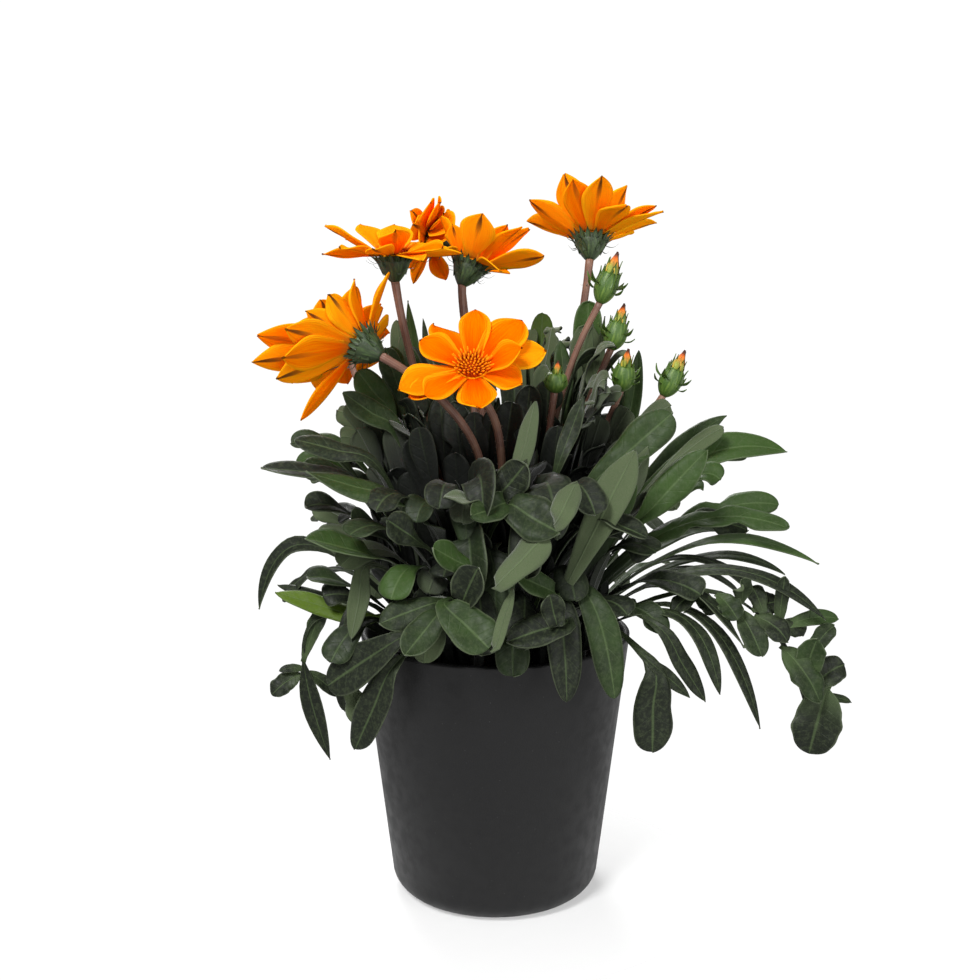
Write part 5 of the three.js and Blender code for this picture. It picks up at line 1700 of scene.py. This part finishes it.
class GAZANIA_OT_discs(bpy.types.Operator):
    """Fill the middle of each bloom with its florets"""

    bl_idname = "gazania.discs"
    bl_label = "Disc florets"

    def execute(self, context):
        look = context.scene.gazania_blooms
        material = floret_material(look)
        for number, bloom in enumerate(BLOOMS, 1):
            matrix = head_frame(bloom)
            draw = random.Random(DISC_SEED + number)
            bm = new_mesh()
            dome = [(0, DOME_FOOT), (DOME_RADIUS, DOME_FOOT)]
            for step in range(7):
                angle = math.pi / 2 * step / 6
                dome.append((DOME_RADIUS * math.cos(angle), DISC_BASE + DOME_RISE * math.sin(angle)))
            add_lathe(bm, dome, 24, matrix)
            for index in range(look.florets):
                self.add_floret(bm, matrix, index, look.florets, draw)
            finish_piece(bm, f"bloom_{number}_florets", f"bloom_{number}_disc", [material])
        return {"FINISHED"}

    def add_floret(self, bm, matrix, index, count, draw):
        """A floret, short near the middle of the disc and taller and more bent toward its edge."""
        share = math.sqrt((index + 0.5) / count)
        azimuth = GOLDEN_ANGLE * index
        radius = DISC_RADIUS * share
        height = DISC_BASE + DOME_RISE * math.sqrt(1 - share * share * 0.8) - 0.4
        lean = math.radians(30 * share)
        out = polar(azimuth, 1)
        way = out * math.sin(lean) + Vector((0, 0, math.cos(lean)))
        foot = polar(azimuth, radius, height)
        tall = mix(1.2, 4.0, share ** 2) * draw.uniform(0.8, 1.15)
        tone = draw.random()
        bend = out * (0.9 * share)
        tube = lambda t: matrix @ (foot + way * (tall * t) + bend * t * t)
        add_tube(bm, tube, lambda t: 0.24 + 0.2 * math.sin(math.pi * t), 6, 4, tone)


# ------------------------------------------------------------------ buds
class GAZANIA_OT_buds(bpy.types.Operator):
    """Set the green bud cups and their rolled petals"""

    bl_idname = "gazania.buds"
    bl_label = "Buds"

    def execute(self, context):
        look = context.scene.gazania_blooms
        green = cup_material(look, "bud_cup_skin", look.bud_colour, linear("#86a046"), linear("#4c6c28"))
        rolled = bud_petal_material(look)
        for number, bud in enumerate(BUDS, 1):
            matrix = head_frame(bud) @ Matrix.Scale(bud["size"], 4)
            self.set_cup(number, matrix, green)
            self.roll_petals(number, matrix, rolled)
        return {"FINISHED"}

    def set_cup(self, number, matrix, material):
        draw = random.Random(BUD_SEED + number)
        bm = new_mesh()
        add_tube(
            bm, lambda t: matrix @ Vector((0, 0, 13.6 * t)),
            lambda t: mix(1.6, 3.6, t) + 2.5 * math.sin(math.pi * t ** 0.85) ** 0.9, 32, 16, 0.0,
        )
        for root, tip, width, count, start, bow in (
            ((4.9, 5.4), (9.2, 8.4), 4.2, 3, 90, -0.7),
            ((5.0, 8.0), (10.6, 12.2), 4.4, 4, 45, -0.8),
            ((5.0, 7.4), (4.4, 15.8), 4.0, 6, 30, 0.8),
            ((4.4, 9.6), (3.0, 19.4), 3.4, 5, 0, 0.9),
        ):
            for index in range(count):
                azimuth = start + 360 * index / count + draw.uniform(-10, 10)
                reach = (tip[0] + draw.uniform(-0.6, 0.9), tip[1] + draw.uniform(-0.9, 0.8))
                add_bract(bm, matrix, azimuth, root, reach, width, bow, draw.uniform(0.0, 0.4))
        finish_piece(bm, f"bud_{number}_cup", f"bud_{number}_involucre", [material])

    def roll_petals(self, number, matrix, material):
        """Five petals wrapped round each other, each a little outside the edge of the last."""
        bm = new_mesh()
        for index in range(5):
            def place(across, way):
                share = (across + 1) / 2
                angle = 72 * index + 125 * share + 70 * way
                body = mix(0.9, 1, smooth_step(0, 0.3, way)) * (1 - 0.8 * smooth_step(0.35, 1.05, way))
                radius = 3.2 * body * mix(0.84, 1.02, share)
                height = mix(BUD_BASE, BUD_TIP, way) - 1.3 * index / 5 * way
                return matrix @ polar(-angle, radius, height)

            add_grid(bm, 8, 14, place)
        finish_piece(bm, f"bud_{number}_roll", f"bud_{number}_petals", [material])


# ------------------------------------------------------------------ stage
# In metres.
FLOOR_RADIUS = 4
LIT_POINT = Vector((0, 0, 0.2))


def add_area_light(name, place, size, power):
    """A round soft light that looks at the middle of the plant, placed in metres."""
    light = bpy.data.lights.new(name, "AREA")
    light.shape = "DISK"
    light.size = size
    light.energy = power
    lamp = bpy.data.objects.new(name, light)
    lamp.location = place
    lamp.rotation_euler = (LIT_POINT - Vector(place)).to_track_quat("-Z", "Y").to_euler()
    bpy.context.scene.collection.objects.link(lamp)


class GAZANIA_OT_stage(bpy.types.Operator):
    """Set the pale floor, the soft lights and the camera"""

    bl_idname = "gazania.stage"
    bl_label = "Stage"

    def execute(self, context):
        look = context.scene.gazania_stage
        self.lay_floor(look)
        self.set_lights()
        self.set_camera(look)
        context.scene.view_settings.view_transform = "Standard"
        return {"FINISHED"}

    def lay_floor(self, look):
        """Matte paper that shows only round the pot's foot, where it takes the shadow, and fades out."""
        bm = bmesh.new()
        bmesh.ops.create_circle(bm, cap_ends=True, segments=96, radius=FLOOR_RADIUS)
        mesh = bpy.data.meshes.new("floor")
        bm.to_mesh(mesh)
        bm.free()
        material, tree = new_material("matte_white_paper", Roughness=0.9)
        place = add_node(tree, "TexCoord", output="Object")
        reach = add_node(tree, "VectorMath", [place], output=1, operation="LENGTH")
        fade = add_node(tree, "MapRange", (reach, 0.05, 0.14, 0.6, 0.0), **EASED)
        tree.links.new(fade, tree.nodes["Principled BSDF"].inputs["Alpha"])
        grain = add_node(tree, "TexNoise", {"Vector": place, "Scale": 1 / (8 * MM), "Detail": 3.0})
        patches = add_node(tree, "MapRange", (grain, 0.3, 0.7, 0.0, 0.05), **EASED)
        shade = layer_colours(tree, look.floor_colour, (patches, linear("#e9e9e9")))
        finish_material(material, shade, grain, 0.1 * MM, 0.3)
        mesh.materials.append(material)
        floor = bpy.data.objects.new("floor", mesh)
        bpy.context.scene.collection.objects.link(floor)

    def set_lights(self):
        """The world is white to the camera and shines more from below, as white paper does."""
        world = bpy.data.worlds.new("studio")
        bpy.context.scene.world = world
        world.use_nodes = True
        tree = world.node_tree
        background = tree.nodes["Background"]
        background.inputs["Color"].default_value = (1, 1, 1, 1)
        seen = add_node(tree, "LightPath", output="Is Camera Ray")
        way = add_node(tree, "TexCoord", output="Generated")
        height = add_node(tree, "SeparateXYZ", [way], output=2)
        light = add_node(tree, "MapRange", (height, -0.3, 0.1, 0.7, 0.25), **EASED)
        strength = add_node(tree, "Mix", {0: seen, 2: light, 3: 1.05}, data_type="FLOAT")
        tree.links.new(strength, background.inputs["Strength"])
        add_area_light("key_light", (-0.5, -0.95, 1.2), 0.5, 22)
        add_area_light("fill_light", (0.8, -1.1, 0.5), 0.9, 8)
        add_area_light("rim_light", (-0.2, 0.9, 1.0), 0.7, 16)

    def set_camera(self, look):
        camera = bpy.data.cameras.new("camera")
        camera.lens = look.lens
        camera.sensor_width = SENSOR
        camera.clip_start = 0.01
        eye = bpy.data.objects.new("camera", camera)
        eye.location = Vector((look.camera_side, -look.camera_distance, look.camera_height)) * MM
        eye.rotation_euler = (math.pi / 2 - look.camera_pitch, 0, 0)
        bpy.context.scene.collection.objects.link(eye)
        bpy.context.scene.camera = eye


# ------------------------------------------------------------------ panel and registration
class GAZANIA_PT_panel(bpy.types.Panel):
    """Lists the pieces of the plant in the order they are made"""

    bl_idname = "GAZANIA_PT_panel"
    bl_label = "Gazania"
    bl_space_type = "VIEW_3D"
    bl_region_type = "UI"
    bl_category = "Gazania"

    def draw(self, context):
        for operator in OPERATORS:
            self.layout.operator(operator.bl_idname)


GROUPS = (
    ("gazania_pot", GazaniaPot),
    ("gazania_leaves", GazaniaLeaves),
    ("gazania_blooms", GazaniaBlooms),
    ("gazania_stage", GazaniaStage),
)
OPERATORS = (
    GAZANIA_OT_pot, GAZANIA_OT_soil, GAZANIA_OT_shoots, GAZANIA_OT_stems, GAZANIA_OT_cups,
    GAZANIA_OT_petals, GAZANIA_OT_discs, GAZANIA_OT_buds, GAZANIA_OT_stage,
)


def register():
    for name, group in GROUPS:
        bpy.utils.register_class(group)
        setattr(bpy.types.Scene, name, PointerProperty(type=group))
    for operator in OPERATORS:
        bpy.utils.register_class(operator)
    bpy.utils.register_class(GAZANIA_PT_panel)


def unregister():
    bpy.utils.unregister_class(GAZANIA_PT_panel)
    for operator in reversed(OPERATORS):
        bpy.utils.unregister_class(operator)
    for name, group in reversed(GROUPS):
        delattr(bpy.types.Scene, name)
        bpy.utils.unregister_class(group)


def main():
    register()
    bpy.ops.gazania.pot()
    bpy.ops.gazania.soil()
    bpy.ops.gazania.shoots()
    bpy.ops.gazania.stems()
    bpy.ops.gazania.cups()
    bpy.ops.gazania.petals()
    bpy.ops.gazania.discs()
    bpy.ops.gazania.buds()
    bpy.ops.gazania.stage()


if __name__ == "__main__":
    main()
